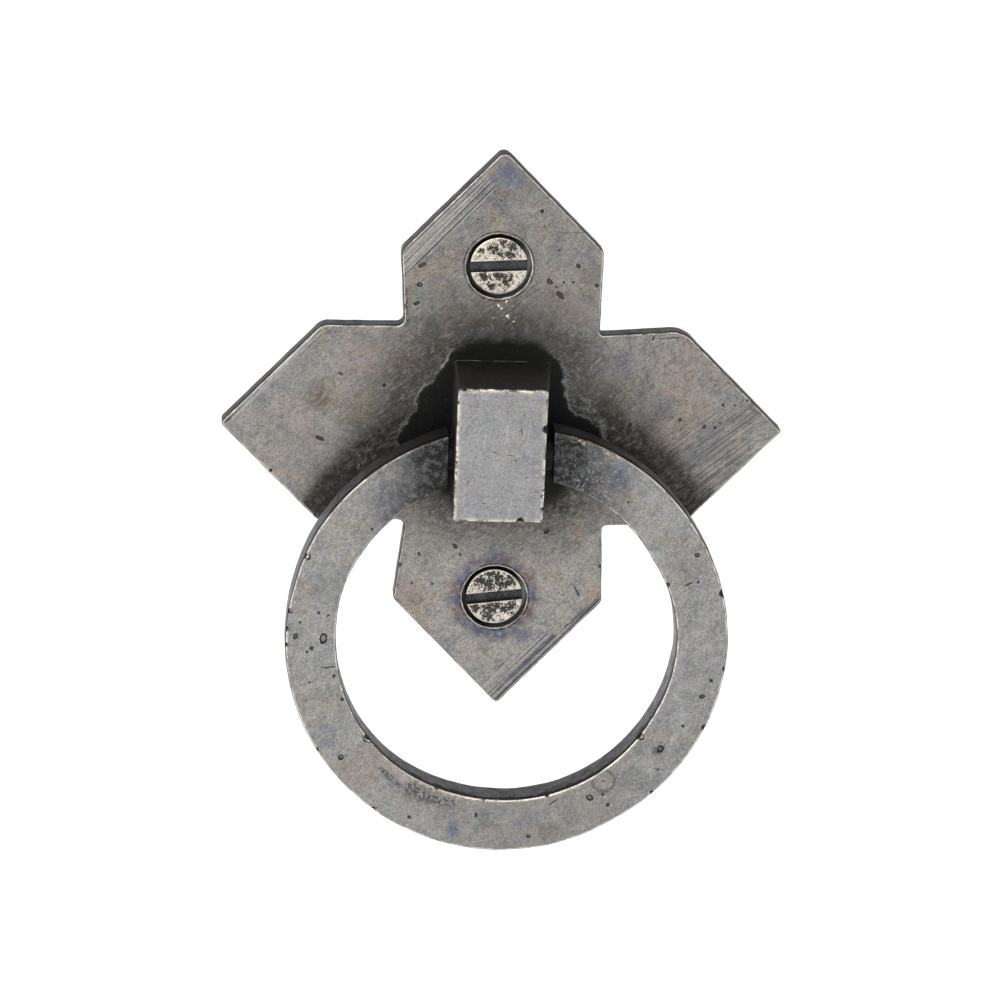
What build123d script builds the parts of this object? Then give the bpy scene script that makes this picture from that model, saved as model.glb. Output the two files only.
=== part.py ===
# Cabinet drop pull: a hand-cut cross-shaped back plate, a riveted post and a flat ring that swings in it.
# Millimetres. The origin is the middle of the plate's back face, +Z is up, the front faces -Y and
# +X is to the right of someone who looks at the front.
from build123d import *
import os

os.makedirs("parts", exist_ok=True)

# Back plate: a cross of four arms, each sawn to a square point
half_span = 38.1
arm_half_width = 13.75
plate_thickness = 3.0
inner_corner_radius = 1.0
outer_corner_radius = 0.45
plate_edge_softening = 0.25

# How far each hand-sawn corner strays from the drawn cross, to the right and up, clockwise from the top
top_tip_stray = (-0.3, 0.25)
top_right_shoulder_stray = (-0.4, 0.1)
upper_right_corner_stray = (-0.65, -0.85)
right_upper_shoulder_stray = (0.25, -0.1)
right_tip_stray = (0.4, -0.45)
right_lower_shoulder_stray = (0.9, -0.3)
lower_right_corner_stray = (0.55, -0.35)
bottom_right_shoulder_stray = (0.8, -0.7)
bottom_tip_stray = (0.55, -1.9)
bottom_left_shoulder_stray = (-0.3, -0.35)
lower_left_corner_stray = (1.15, 0.35)
left_lower_shoulder_stray = (-0.3, 0.25)
left_tip_stray = (0.2, 0.2)
left_upper_shoulder_stray = (0.05, 0.4)
upper_left_corner_stray = (0.45, 0.4)
top_left_shoulder_stray = (-0.2, 0.1)

# Screws: wood screws with flat cylindrical heads, sunk in the plate. The inset is from an arm's drawn tip
screw_inset = 14.7
screw_line_x = -0.4
screw_line_z = -0.95
screw_line_turn = 0.75
shank_radius = 2.1
shank_clearance = 0.2
head_radius = 3.78
head_side_clearance = 0.72
head_height = 1.75
head_sunk = 0.15
head_edge_chamfer = 0.15
slot_width = 1.45
slot_depth = 1.0
upper_slot_angle = 2.7
lower_slot_angle = 6.2
screw_length = 25.4
plain_shank_length = 9.5
thread_mean_radius = 1.8
thread_runout = 0.6
screw_point_length = 4.0
screw_point_radius = 0.2
counterbore_rim_chamfer = 0.12

# Post: a block that narrows to the front, with a riveted tenon behind
post_x = 0.0
post_base_width = 13.05
post_front_width = 12.05
post_height = 18.4
post_depth = 14.4
post_lean = -0.85
post_turn = -0.8
post_edge_softening = 0.4
tenon_radius = 3.5
tenon_clearance = 0.04
rivet_head_radius = 4.7
rivet_shy = 0.15

# Ring: flat bar bent to a ring that stops short of the post on both sides, with a round peg on each end
ring_outer_radius = 30.15
ring_bar_width = 7.0
ring_thickness = 4.9
ring_edge_softening = 0.35
ring_x = 1.0
ring_end_gap = 0.85
peg_radius = 2.1
peg_play = 0.08
peg_engagement = 4.0
peg_end_chamfer = 0.4
hole_z = -1.85

# The cross hole lies midway along the post's depth. Its pegs stand on the middle line of the ring's bar
hole_y = -(plate_thickness + post_depth / 2)
post_middle_x = post_x + post_lean / 2
ring_end_reach = (post_base_width + post_front_width) / 4 + ring_end_gap
ring_inner_radius = ring_outer_radius - ring_bar_width
ring_middle_radius = ring_outer_radius - ring_bar_width / 2
ring_z = hole_z - (ring_middle_radius**2 - ring_end_reach**2) ** 0.5
hole_radius = peg_radius + peg_play
peg_length = ring_end_gap + peg_engagement

back_face = Plane.XZ
front_face = Plane.XZ.offset(plate_thickness)
post_face = Plane.XZ.offset(plate_thickness + post_depth)


def strayed(x, z, stray):
    """A corner of the drawn cross, moved to where the saw and the file left it."""
    return (x + stray[0], z + stray[1])


def lathe_plane(x, z):
    """The plane to draw a turned profile on: across is the radius, up is +Y, towards the wall."""
    return Plane(origin=(x, 0, z), x_dir=(1, 0, 0), z_dir=(0, 0, 1))


def lathe_axis(x, z):
    """The line through x, z that a turned profile goes round, square to the wall."""
    return Axis((x, 0, z), (0, 1, 0))


# Back plate
shoulder = half_span - arm_half_width
cross_outline = [
    strayed(0, half_span, top_tip_stray),
    strayed(arm_half_width, shoulder, top_right_shoulder_stray),
    strayed(arm_half_width, arm_half_width, upper_right_corner_stray),
    strayed(shoulder, arm_half_width, right_upper_shoulder_stray),
    strayed(half_span, 0, right_tip_stray),
    strayed(shoulder, -arm_half_width, right_lower_shoulder_stray),
    strayed(arm_half_width, -arm_half_width, lower_right_corner_stray),
    strayed(arm_half_width, -shoulder, bottom_right_shoulder_stray),
    strayed(0, -half_span, bottom_tip_stray),
    strayed(-arm_half_width, -shoulder, bottom_left_shoulder_stray),
    strayed(-arm_half_width, -arm_half_width, lower_left_corner_stray),
    strayed(-shoulder, -arm_half_width, left_lower_shoulder_stray),
    strayed(-half_span, 0, left_tip_stray),
    strayed(-shoulder, arm_half_width, left_upper_shoulder_stray),
    strayed(-arm_half_width, arm_half_width, upper_left_corner_stray),
    strayed(-arm_half_width, shoulder, top_left_shoulder_stray),
]
inner_corner_count = 4

screw_line_middle = Vector(screw_line_x, screw_line_z)
half_screw_line = Vector(0, half_span - screw_inset).rotate(Axis.Z, screw_line_turn)
upper_screw_place = screw_line_middle + half_screw_line
lower_screw_place = screw_line_middle - half_screw_line
screw_places = [upper_screw_place, lower_screw_place]
counterbore_radius = head_radius + head_side_clearance
counterbore_depth = head_height + head_sunk
shank_hole_radius = shank_radius + shank_clearance
tenon_hole_radius = tenon_radius + tenon_clearance
countersink_depth = rivet_head_radius - tenon_radius

with BuildPart() as back_plate:
    with BuildSketch(back_face):
        with BuildLine():
            Polyline(*cross_outline, close=True)
        make_face()
    extrude(amount=plate_thickness)
    corners = back_plate.edges().filter_by(Axis.Y).sort_by_distance((0, -plate_thickness / 2, 0))
    fillet(corners[:inner_corner_count], inner_corner_radius)
    corners = back_plate.edges().filter_by(Axis.Y).filter_by(GeomType.LINE)
    outer_corners = corners.sort_by_distance((0, -plate_thickness / 2, 0))[2 * inner_corner_count :]
    fillet(outer_corners, outer_corner_radius)
    chamfer(back_plate.faces().sort_by(Axis.Y)[0].edges(), plate_edge_softening)
    with BuildSketch(front_face):
        with Locations(*screw_places):
            Circle(counterbore_radius)
    extrude(amount=-counterbore_depth, mode=Mode.SUBTRACT)
    with BuildSketch(back_face):
        with Locations(*screw_places):
            Circle(shank_hole_radius)
    extrude(amount=plate_thickness, mode=Mode.SUBTRACT)
    rims = back_plate.faces().sort_by(Axis.Y)[0].inner_wires().edges()
    chamfer(rims, counterbore_rim_chamfer)
    with BuildSketch(lathe_plane(post_x, 0)):
        with BuildLine():
            Polyline(
                (0, -plate_thickness),
                (tenon_hole_radius, -plate_thickness),
                (tenon_hole_radius, -countersink_depth),
                (tenon_hole_radius + countersink_depth, 0),
                (0, 0),
                close=True,
            )
        make_face()
    revolve(axis=lathe_axis(post_x, 0), mode=Mode.SUBTRACT)
back_plate.part.label = "back_plate"
export_step(back_plate.part, "parts/back_plate.step")

# Post: the taper is in its sides alone, and it stands slightly turned on the plate
with BuildPart() as post:
    with BuildSketch(front_face):
        with Locations((post_x, 0)):
            Rectangle(post_base_width, post_height, rotation=post_turn)
    with BuildSketch(post_face):
        with Locations((post_x + post_lean, 0)):
            Rectangle(post_front_width, post_height, rotation=post_turn)
    loft()
    front_edges = post.faces().sort_by(Axis.Y)[0].edges()
    long_edges = post.edges().filter_by(Plane.XZ, reverse=True)
    fillet(front_edges + long_edges, post_edge_softening)
    with BuildSketch(lathe_plane(post_x, 0)):
        with BuildLine():
            Polyline(
                (0, -plate_thickness),
                (tenon_radius, -plate_thickness),
                (tenon_radius, -countersink_depth),
                (rivet_head_radius - rivet_shy, -rivet_shy),
                (0, -rivet_shy),
                close=True,
            )
        make_face()
    revolve(axis=lathe_axis(post_x, 0))
    with BuildSketch(Plane.YZ.offset(post_x)):
        with Locations((hole_y, hole_z)):
            Circle(hole_radius)
    extrude(amount=post_base_width, both=True, mode=Mode.SUBTRACT)
post.part.label = "post"
export_step(post.part, "parts/post.step")

# Drop ring: cut square to the pegs' line on each side of the post, with its pegs in the cross hole
with BuildPart() as drop_ring:
    with BuildSketch(Plane.XZ.offset(-hole_y - ring_thickness / 2)):
        with Locations((ring_x, ring_z)):
            Circle(ring_outer_radius)
            Circle(ring_inner_radius, mode=Mode.SUBTRACT)
        with Locations((post_middle_x, ring_z)):
            Rectangle(
                2 * ring_end_reach,
                2 * ring_outer_radius,
                align=(Align.CENTER, Align.MIN),
                mode=Mode.SUBTRACT,
            )
    extrude(amount=ring_thickness)
    round_edges = drop_ring.edges().filter_by(GeomType.CIRCLE)
    chamfer(round_edges, ring_edge_softening)
    for side in (1, -1):
        peg_plane = Plane(
            origin=(post_middle_x + side * ring_end_reach, hole_y, hole_z),
            z_dir=(-side, 0, 0),
        )
        with BuildSketch(peg_plane):
            Circle(peg_radius)
        extrude(amount=peg_length)
    peg_tips = drop_ring.faces().filter_by(Axis.X).sort_by_distance((post_middle_x, hole_y, hole_z))[:2]
    chamfer(peg_tips.edges(), peg_end_chamfer)
drop_ring.part.label = "drop_ring"
export_step(drop_ring.part, "parts/drop_ring.step")


# Screws: turned from the head's flat face to the point, with a sawn slot
def wood_screw(x, z, slot_angle):
    """A slotted wood screw whose head lies in the counterbore at x, z. Its thread's helix isn't cut here."""
    head_face_y = -plate_thickness + head_sunk
    seat_y = head_face_y + head_height
    thread_start_y = seat_y + plain_shank_length
    point_y = seat_y + screw_length
    with BuildPart() as screw:
        with BuildSketch(lathe_plane(x, z)):
            with BuildLine():
                Polyline(
                    (0, head_face_y),
                    (head_radius - head_edge_chamfer, head_face_y),
                    (head_radius, head_face_y + head_edge_chamfer),
                    (head_radius, seat_y),
                    (shank_radius, seat_y),
                    (shank_radius, thread_start_y),
                    (thread_mean_radius, thread_start_y + thread_runout),
                    (thread_mean_radius, point_y - screw_point_length),
                    (screw_point_radius, point_y),
                    (0, point_y),
                    close=True,
                )
            make_face()
        revolve(axis=lathe_axis(x, z))
        with BuildSketch(Plane.XZ.offset(-head_face_y)):
            with Locations((x, z)):
                Rectangle(2 * head_radius + slot_width, slot_width, rotation=slot_angle)
        extrude(amount=-slot_depth, mode=Mode.SUBTRACT)
    return screw.part


for name, place, slot_angle in (
    ("upper_screw", upper_screw_place, upper_slot_angle),
    ("lower_screw", lower_screw_place, lower_slot_angle),
):
    screw_part = wood_screw(place.X, place.Y, slot_angle)
    screw_part.label = name
    export_step(screw_part, f"parts/{name}.step")
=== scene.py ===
import math

import bmesh
import bpy
import numpy as np
from mathutils import Matrix, Vector, noise


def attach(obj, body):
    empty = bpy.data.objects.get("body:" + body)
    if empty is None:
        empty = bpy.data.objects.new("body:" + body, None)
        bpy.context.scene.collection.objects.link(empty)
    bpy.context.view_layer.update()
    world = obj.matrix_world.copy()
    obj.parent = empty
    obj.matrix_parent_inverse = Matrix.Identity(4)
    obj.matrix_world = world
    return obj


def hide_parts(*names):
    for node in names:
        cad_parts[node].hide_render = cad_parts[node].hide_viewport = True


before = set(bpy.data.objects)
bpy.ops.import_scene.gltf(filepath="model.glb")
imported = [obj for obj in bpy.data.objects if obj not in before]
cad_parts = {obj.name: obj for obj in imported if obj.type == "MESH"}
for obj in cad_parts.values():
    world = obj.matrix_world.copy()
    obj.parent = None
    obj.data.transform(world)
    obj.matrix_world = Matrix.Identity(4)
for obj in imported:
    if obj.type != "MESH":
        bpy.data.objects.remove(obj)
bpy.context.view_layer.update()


# Back plate. A cross of grey bronze about 3 mm thick, cast from a hand-cut pattern, then filed on its edges
# and rubbed bright over a black patina. Two wood screws in flat counterbores hold it. All sizes are in
# millimetres.
MM = 0.001
ACROSS = Vector((1, 0, 0))
DEPTH = Vector((0, 1, 0))
UP = Vector((0, 0, 1))
PLATE_FRONT = -3.0
# The outline's corners: across, up, softening
PLATE_CORNERS = [
    (-0.3, 38.35, 1.2), (13.45, 24.5, 0.4), (13.2, 12.85, 0.6), (24.6, 13.6, 1.6), (38.6, -0.5, 0.3),
    (25.35, -14.15, 0.3), (14.45, -14.1, 0.7), (14.75, -25.15, 0.5), (0.6, -40.05, 0.7), (-14.05, -24.7, 0.5),
    (-12.6, -13.4, 1.1), (-24.65, -13.5, 0.3), (-38.0, 0.2, 0.6), (-24.4, 14.1, 0.8), (-13.3, 14.05, 1.0),
    (-13.85, 24.45, 0.7),
]
SCREW_PLACES = {"upper_screw": (-0.7, 22.36), "lower_screw": (-0.09, -24.44)}
RIM_RADIUS = 4.43
BORE_FLOOR = -1.1
SCREW_HOLE = 2.3
TENON_HOLE = 3.54
FLARE_START = -1.2
FLARE_RADIUS = 4.74
FRONT_SOFTENING = 0.32
BACK_SOFTENING = 0.4
# What shades the plate and kept the cloths off it: the ring's bar and the post
BAR_MIDDLE = (1.0, -27.5)
BAR_RADIUS = 29.0
FOOT_HALF_WIDTH = 6.5
FOOT_HALF_HEIGHT = 9.2
# How far apart the lines are that cut the front and the back into squares
FRONT_PITCH = 0.27
BACK_PITCH = 1.0
# Casting pits and dents on the front: across, up, radius, and for long ones length over width and turn in
# degrees
PLATE_PITS = [
    (4.9, 30.0, 0.3), (-3.7, 28.8, 0.18), (-0.6, 31.3, 0.16), (10.0, 22.5, 0.28, 1.5, -50),
    (6.2, 20.3, 0.33, 1.6, -50), (7.7, 18.4, 0.3, 2.6, -45), (7.1, 19.5, 0.18, 1.5, -50), (8.1, 20.2, 0.2),
    (9.4, 20.2, 0.2), (10.4, 19.4, 0.18), (12.6, 19.8, 0.27, 1.2, 0), (7.4, 24.7, 0.16),
    (-11.1, 22.4, 0.3, 2.2, 25), (-11.3, 19.7, 0.35, 1.3, 10), (-11.7, 17.1, 0.26, 2, 25),
    (-24.4, -1.9, 0.3, 2.2, -25), (-15.8, 5.6, 0.3), (-21.7, 7.2, 0.15, 3, -35), (27.9, 0.1, 0.32, 1.2, 60),
    (29.4, 0.0, 0.22), (24.6, 1.1, 0.27), (33.7, 3.9, 0.22), (32.0, 3.2, 0.2), (30.4, 3.2, 0.22, 1.3, 60),
    (29.2, 6.0, 0.18), (17.7, 0.2, 0.27, 1.4, 60), (15.5, -0.1, 0.18), (30.1, 0.7, 0.18),
    (-5.7, -17.1, 0.28, 2, -50), (-4.9, -18.4, 0.19, 1.3, -60), (-10.6, -18.3, 0.19, 1.8, -70),
    (-11.5, -22.5, 0.2), (-8.7, -22.6, 0.17), (6.8, -15.0, 0.34, 1.2, 20), (11.3, -23.6, 0.14, 7, -60),
    (-19.1, -5.1, 0.15, 5, 85), (22.9, 12.6, 0.1, 22, 5), (20.5, 12.5, 0.16, 3, 60), (9.0, 27.1, 0.06, 45, 2),
]
# Nicks in the outline: across, up, radius
PLATE_NICKS = [
    (-13.3, 16.6, 0.45), (-13.35, -19.9, 0.5), (19.2, 13.3, 0.35), (21.6, 13.5, 0.3), (24.2, 13.5, 0.4),
    (14.4, -19.9, 0.25), (-13.1, -16.3, 0.2), (-24.9, -13.0, 0.35), (20.1, 18.0, 0.3), (33.0, 5.2, 0.3),
    (33.8, -5.4, 0.3), (-31.0, -6.5, 0.25), (6.0, -34.2, 0.3), (-6.5, -32.9, 0.25), (8.2, 29.9, 0.3),
]
# Facets left by the coarse file beside the outline: the edge's two ends, width, drop at the edge
PLATE_FACETS = [
    (-13.85, 24.45, -0.3, 38.35, 2.7, 0.09), (14.75, -25.15, 0.6, -40.05, 2.0, 0.08),
    (-38.0, 0.2, -24.4, 14.1, 0.9, 0.07), (25.35, -14.15, 38.6, -0.5, 1.3, 0.04),
    (13.2, 12.85, 24.6, 13.6, 0.9, 0.08), (24.6, 13.6, 38.6, -0.5, 0.7, 0.04),
]
# Where the black patina was never rubbed off, round the post's foot: its edge, clockwise from the left
BLACK_PATCH = [
    (-14.2, -2.0), (-12.9, 0.1), (-11.3, 2.2), (-11.5, 3.8), (-9.8, 5.8), (-9.2, 6.7), (-8.2, 8.1),
    (-7.1, 9.4), (-5.9, 11.1), (-4.4, 11.7), (-0.3, 11.7), (3.8, 11.5), (6.2, 10.6), (7.5, 9.1), (8.2, 7.8),
    (8.5, 6.6), (8.7, 5.3), (8.9, 3.5), (9.5, 2.2), (10.9, 1.3), (12.0, 1.3), (12.6, 0.4), (13.6, -0.6),
    (14.2, -1.5), (14.9, -3.2), (12.0, -6.0), (8.5, -9.5), (6.5, -11.0), (-6.0, -10.4), (-9.0, -7.5),
    (-12.0, -5.0),
]
# Stains: across, up, radius, strength, colour
VIOLET = (0.088, 0.090, 0.128)
BLUE = (0.070, 0.086, 0.128)
BROWN = (0.105, 0.083, 0.060)
UMBER = (0.085, 0.066, 0.062)
PINK = (0.245, 0.185, 0.175)
SMUDGE = (0.045, 0.043, 0.042)
PLATE_STAINS = [
    (0.4, 34.2, 3.2, 0.5, BROWN), (0.2, 34.8, 2.0, 1.0, BLUE), (1.2, 34.2, 1.5, 0.95, BLUE),
    (-1.3, 34.3, 1.2, 0.7, BLUE), (1.6, 13.9, 2.6, 0.75, SMUDGE), (-3.6, 13.4, 2.2, 0.6, SMUDGE),
    (6.2, 12.2, 1.8, 0.6, SMUDGE), (-9.6, 13.2, 2.4, 0.55, SMUDGE), (9.9, 8.6, 1.6, 0.5, SMUDGE),
    (12.2, 5.4, 2.2, 0.45, SMUDGE), (-24.5, 3.9, 2.3, 0.9, BROWN), (-24.3, 3.7, 1.4, 1.0, BROWN),
    (13.2, 9.2, 2.0, 0.5, VIOLET), (20.7, 1.8, 2.8, 0.4, VIOLET), (28.5, -2.2, 2.8, 0.5, VIOLET),
    (24.6, -5.0, 2.2, 0.45, BLUE), (16.5, -2.0, 2.6, 0.5, UMBER), (19.0, -7.0, 2.6, 0.5, UMBER),
    (3.9, -30.0, 1.5, 0.7, BLUE), (0.2, -18.6, 1.9, 0.6, BLUE), (-12.0, -23.5, 2.6, 0.4, PINK),
    (-18.5, 9.5, 3.6, 0.35, PINK), (-27.0, 1.0, 3.6, 0.25, PINK), (25.0, 8.0, 4.2, 0.35, PINK),
    (11.6, 21.2, 1.5, 0.55, BROWN), (7.3, -32.0, 1.8, 0.6, BLUE), (5.0, -34.4, 1.5, 0.7, BLUE),
    (2.6, -36.0, 1.2, 0.5, BLUE), (-13.4, 8.4, 3.8, 0.6, UMBER), (-11.5, 11.5, 2.4, 0.5, UMBER),
    (-8.0, 13.6, 2.0, 0.5, BROWN), (9.5, 15.8, 3.0, 0.3, PINK), (-7.5, 18.5, 3.2, 0.3, BROWN),
    (16.8, 8.4, 2.4, 0.55, VIOLET), (22.0, 2.6, 2.0, 0.6, BLUE), (26.8, -3.4, 1.6, 0.65, BLUE),
    (18.5, 5.6, 2.2, 0.5, UMBER), (15.2, 3.6, 2.4, 0.6, SMUDGE), (24.8, -7.6, 1.8, 0.5, BLUE),
    (32.6, -4.8, 1.2, 0.4, SMUDGE), (26.0, -11.8, 1.8, 0.85, SMUDGE), (28.8, -9.4, 1.3, 0.6, SMUDGE),
    (31.8, -6.6, 1.0, 0.5, SMUDGE), (-11.0, 12.4, 2.2, 0.6, SMUDGE), (-13.6, 6.8, 1.8, 0.5, SMUDGE),
    (-12.0, 9.2, 1.6, 0.5, BLUE), (-13.6, 3.6, 2.2, 0.7, SMUDGE), (-15.4, 0.4, 2.2, 0.6, SMUDGE),
    (-11.6, 6.6, 1.8, 0.7, SMUDGE), (-9.4, 10.4, 1.8, 0.7, SMUDGE), (10.2, 10.8, 1.6, 0.6, SMUDGE),
    (-17.6, -2.6, 1.8, 0.45, SMUDGE),
]
# Flecks of bare metal under the upper screw
PLATE_FLECKS = [
    (0.4, 17.5, 0.13, 1.5, 80), (-0.6, 16.9, 0.14, 2.2, -50), (-0.2, 16.5, 0.12, 1.6, 30),
    (0.6, 15.5, 0.18, 1.4, 20), (1.5, 14.7, 0.12, 1.3, 0), (0.8, 15.2, 0.1, 1.8, -40),
    (1.1, 15.9, 0.08, 1.2, 0), (-1.3, 15.2, 0.08, 1.4, 0),
]
# Pale wisps of worn patina to the right of the post
PLATE_WISPS = [
    (7.9, 9.6, 8.8, 7.2, 0.3), (8.9, 7.2, 9.0, 4.4, 0.45), (9.0, 4.4, 10.4, 2.8, 0.35),
    (10.4, 2.8, 12.3, 2.2, 0.3), (9.6, 5.4, 11.8, 3.6, 0.3), (11.8, 3.4, 13.8, 0.6, 0.35),
    (13.6, 0.8, 14.6, -1.8, 0.35),
]
# Where the fine file, the brush and black smears ran: each stroke's two ends, width
PLATE_STROKES = {
    "filed": [
        (-13.0, 23.2, -3.0, 33.2, 1.5), (0.5, -37.7, 4.4, -33.7, 1.9), (3.4, -35.3, 7.4, -31.3, 1.5),
        (6.5, -33.3, 14.2, -25.5, 0.9), (-37.0, 0.6, -25.0, 12.8, 0.55),
    ],
    "brushed": [(21.0, -6.4, 34.0, 2.0, 2.3), (23.5, -10.2, 33.0, -3.9, 2.5), (24.5, -12.4, 27.4, -9.9, 1.4)],
    "smear": [
        (-12.9, 14.8, -13.2, 19.0, 0.3), (25.6, -13.2, 29.5, -9.4, 0.5), (7.0, -10.6, 9.0, -11.6, 0.9),
        (-13.3, -14.8, -13.6, -23.0, 0.3), (-38.0, 0.2, -36.9, 0.8, 0.5),
    ],
}


def block(corners, start, end):
    """A straight block over an outline of (across, up), from one depth to another."""
    bm = bmesh.new()
    sheet = bm.faces.new([bm.verts.new((x, start, z)) for x, z in corners])
    raised = bmesh.ops.extrude_face_region(bm, geom=[sheet])
    moved = [g for g in raised["geom"] if isinstance(g, bmesh.types.BMVert)]
    bmesh.ops.translate(bm, verts=moved, vec=(0, end - start, 0))
    bmesh.ops.recalc_face_normals(bm, faces=bm.faces)
    return bm


def turned(profile, across, up, steps=64):
    """A turned solid: a profile of (radius, depth) spun round a line square to the door."""
    bm = bmesh.new()
    points = [bm.verts.new((across + radius, depth, up)) for radius, depth in profile]
    edges = [bm.edges.new(pair) for pair in zip(points, points[1:])]
    bmesh.ops.spin(
        bm, geom=points + edges, cent=(across, 0, up), axis=DEPTH, angle=math.tau, steps=steps, use_merge=True
    )
    bmesh.ops.remove_doubles(bm, verts=bm.verts, dist=0.001)
    bmesh.ops.recalc_face_normals(bm, faces=bm.faces)
    return bm


def edges_where(bm, rule):
    """The edges whose two ends both lie where a rule says."""
    return [edge for edge in bm.edges if all(rule(v.co) for v in edge.verts)]


def soften(bm, edges, offset, segments=3):
    """Rounds some edges over."""
    bmesh.ops.bevel(
        bm, geom=edges, offset=offset, segments=segments, profile=0.5, affect="EDGES", material=-1
    )


def as_object(bm, name, prefix=""):
    """Makes a bmesh an object of the scene."""
    mesh = bpy.data.meshes.new(name)
    bm.to_mesh(mesh)
    bm.free()
    thing = bpy.data.objects.new(prefix + name, mesh)
    bpy.context.scene.collection.objects.link(thing)
    return thing


def cut_out(bm, cutters):
    """The first solid less the others."""
    blank = as_object(bm, "blank")
    tools = [as_object(cutter, "cutter") for cutter in cutters]
    for tool in tools:
        trim = blank.modifiers.new("cut", "BOOLEAN")
        trim.operation = "DIFFERENCE"
        trim.solver = "EXACT"
        trim.object = tool
    result = bmesh.new()
    result.from_object(blank, bpy.context.evaluated_depsgraph_get())
    for spare in [blank, *tools]:
        shape = spare.data
        bpy.data.objects.remove(spare)
        bpy.data.meshes.remove(shape)
    bmesh.ops.remove_doubles(result, verts=result.verts, dist=0.0005)
    return result


def rule_off(bm, faces, direction, places):
    """Cuts faces along planes square to direction, so that dents and waves have points to sit on."""
    if not places or not faces:
        return
    middle = len(places) // 2
    around = {v for f in faces for v in f.verts} | {e for f in faces for e in f.edges} | set(faces)
    cut = bmesh.ops.bisect_plane(
        bm, geom=list(around), dist=0.0001, plane_co=direction * places[middle], plane_no=direction
    )
    pieces = [g for g in cut["geom"] if isinstance(g, bmesh.types.BMFace)]
    below = [f for f in pieces if f.calc_center_median().dot(direction) < places[middle]]
    above = [f for f in pieces if f.calc_center_median().dot(direction) >= places[middle]]
    rule_off(bm, below, direction, places[:middle])
    rule_off(bm, above, direction, places[middle + 1 :])


def spaced(low, high, pitch):
    """Evenly spaced places from low to high."""
    return [low + pitch * n for n in range(int((high - low) / pitch) + 1)]


def rule_squares(bm, chosen, across, up, pitch):
    """Rules the chosen faces off into small squares, between two ends across and two ends up."""
    for direction, ends in ((ACROSS, across), (UP, up)):
        rule_off(bm, [face for face in bm.faces if chosen(face)], direction, spaced(*ends, pitch))


def dent(x, z, pits):
    """How far inside the nearest pit a place lies, less than 0 outside, and how deep the pit is there."""
    inside, deep = -1.0, 0.0
    for pit_x, pit_z, radius, *shape in pits:
        stretch, turn = shape or (1, 0)
        dx, dz = x - pit_x, z - pit_z
        if max(abs(dx), abs(dz)) > radius * stretch + 0.5:
            continue
        c, s = math.cos(math.radians(turn)), math.sin(math.radians(turn))
        ragged = 0.22 * radius * noise.noise(Vector((x * 4, z * 4, pit_x)))
        here = radius - math.hypot((dx * c + dz * s) / stretch, dz * c - dx * s) + ragged
        inside = max(inside, here)
        deep = max(deep, min(0.55 * radius, 1.5 * here))
    return inside, deep


def refine(bm, pits, nicks, front):
    """Splits the front's faces finer round pits and nicks, so that these keep crisp edges."""
    marks = [(x, z, radius * (shape or [1])[0]) for x, z, radius, *shape in pits + nicks]
    for reach in (0.35, 0.2):
        faces = list(bm.faces)
        middles = np.array([face.calc_center_median()[:] for face in faces])
        near = np.zeros(len(faces), bool)
        for x, z, size in marks:
            near |= np.hypot(middles[:, 0] - x, middles[:, 2] - z) < size + reach
        near &= middles[:, 1] < front + 0.8
        edges = {edge for face, chosen in zip(faces, near) if chosen for edge in face.edges}
        bmesh.ops.subdivide_edges(bm, edges=list(edges), cuts=1, use_grid_fill=True)


def nick_share(point, nicks, face):
    """How far inside the nearest nick a point is: 1 in its middle, 0 outside. Nicks start at the front."""
    share = 0.0
    for x, z, radius in nicks:
        if max(abs(point.x - x), abs(point.z - z)) < 1.5 * radius:
            far = (point - Vector((x, face, z))).length / radius
            share = max(share, 1 - far + 0.25 * noise.noise(point * 3.1))
    return min(1.0, share)


def hump(x, z, size, layer):
    """Smooth noise over the door's plane, in lumps of a size. Each layer is a pattern of its own."""
    return noise.noise(Vector((x / size, layer, z / size)))


def from_line(x, z, x0, z0, x1, z1):
    """Distance of a place, or of arrays of places, from a straight line between two ends."""
    ex, ez = x1 - x0, z1 - z0
    t = np.clip(((x - x0) * ex + (z - z0) * ez) / (ex * ex + ez * ez), 0, 1)
    return np.hypot(x - x0 - t * ex, z - z0 - t * ez)


def band(across, up, strokes):
    """How far each place lies inside the nearest of some strokes: 1 on a stroke's line, 0 beside it."""
    share = np.zeros(len(across))
    for *ends, width in strokes:
        share = np.maximum(share, np.clip(1.4 - from_line(across, up, *ends) / width, 0, 1))
    return share


def outline_distance(across, up, outline):
    """Distance from the nearest side of a closed outline, more than 0 inside it, for arrays of places."""
    nearest = np.full(across.shape, 1e9)
    inside = np.zeros(across.shape, bool)
    for (x0, z0), (x1, z1) in zip(outline, outline[1:] + outline[:1]):
        nearest = np.minimum(nearest, from_line(across, up, x0, z0, x1, z1))
        if z0 != z1:
            crosses = (z0 > up) != (z1 > up)
            inside ^= crosses & (across < x0 + (up - z0) * (x1 - x0) / (z1 - z0))
    return np.where(inside, nearest, -nearest)


def places_of(bm):
    """The points' places, as three arrays: across, depth, up."""
    return np.array([v.co[:] for v in bm.verts]).T


def keep(bm, name, values):
    """Keeps one number for each point, for the material to read."""
    layer = bm.verts.layers.float.new(name)
    for v, value in zip(bm.verts, values):
        v[layer] = float(value)


def keep_stains(bm, across, up, stains):
    """Keeps the stains' colour at each point, with their strength as its alpha."""
    layer = bm.verts.layers.float_color.new("stain")
    tint = np.zeros((len(across), 4))
    for x, z, radius, strength, colour in stains:
        share = strength * np.clip(1.3 - np.hypot(across - x, up - z) / radius, 0, 1)
        stronger = share > tint[:, 3]
        tint[stronger, :3] = colour
        tint[:, 3] = np.maximum(tint[:, 3], share)
    for v, value in zip(bm.verts, tint):
        v[layer] = value


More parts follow.
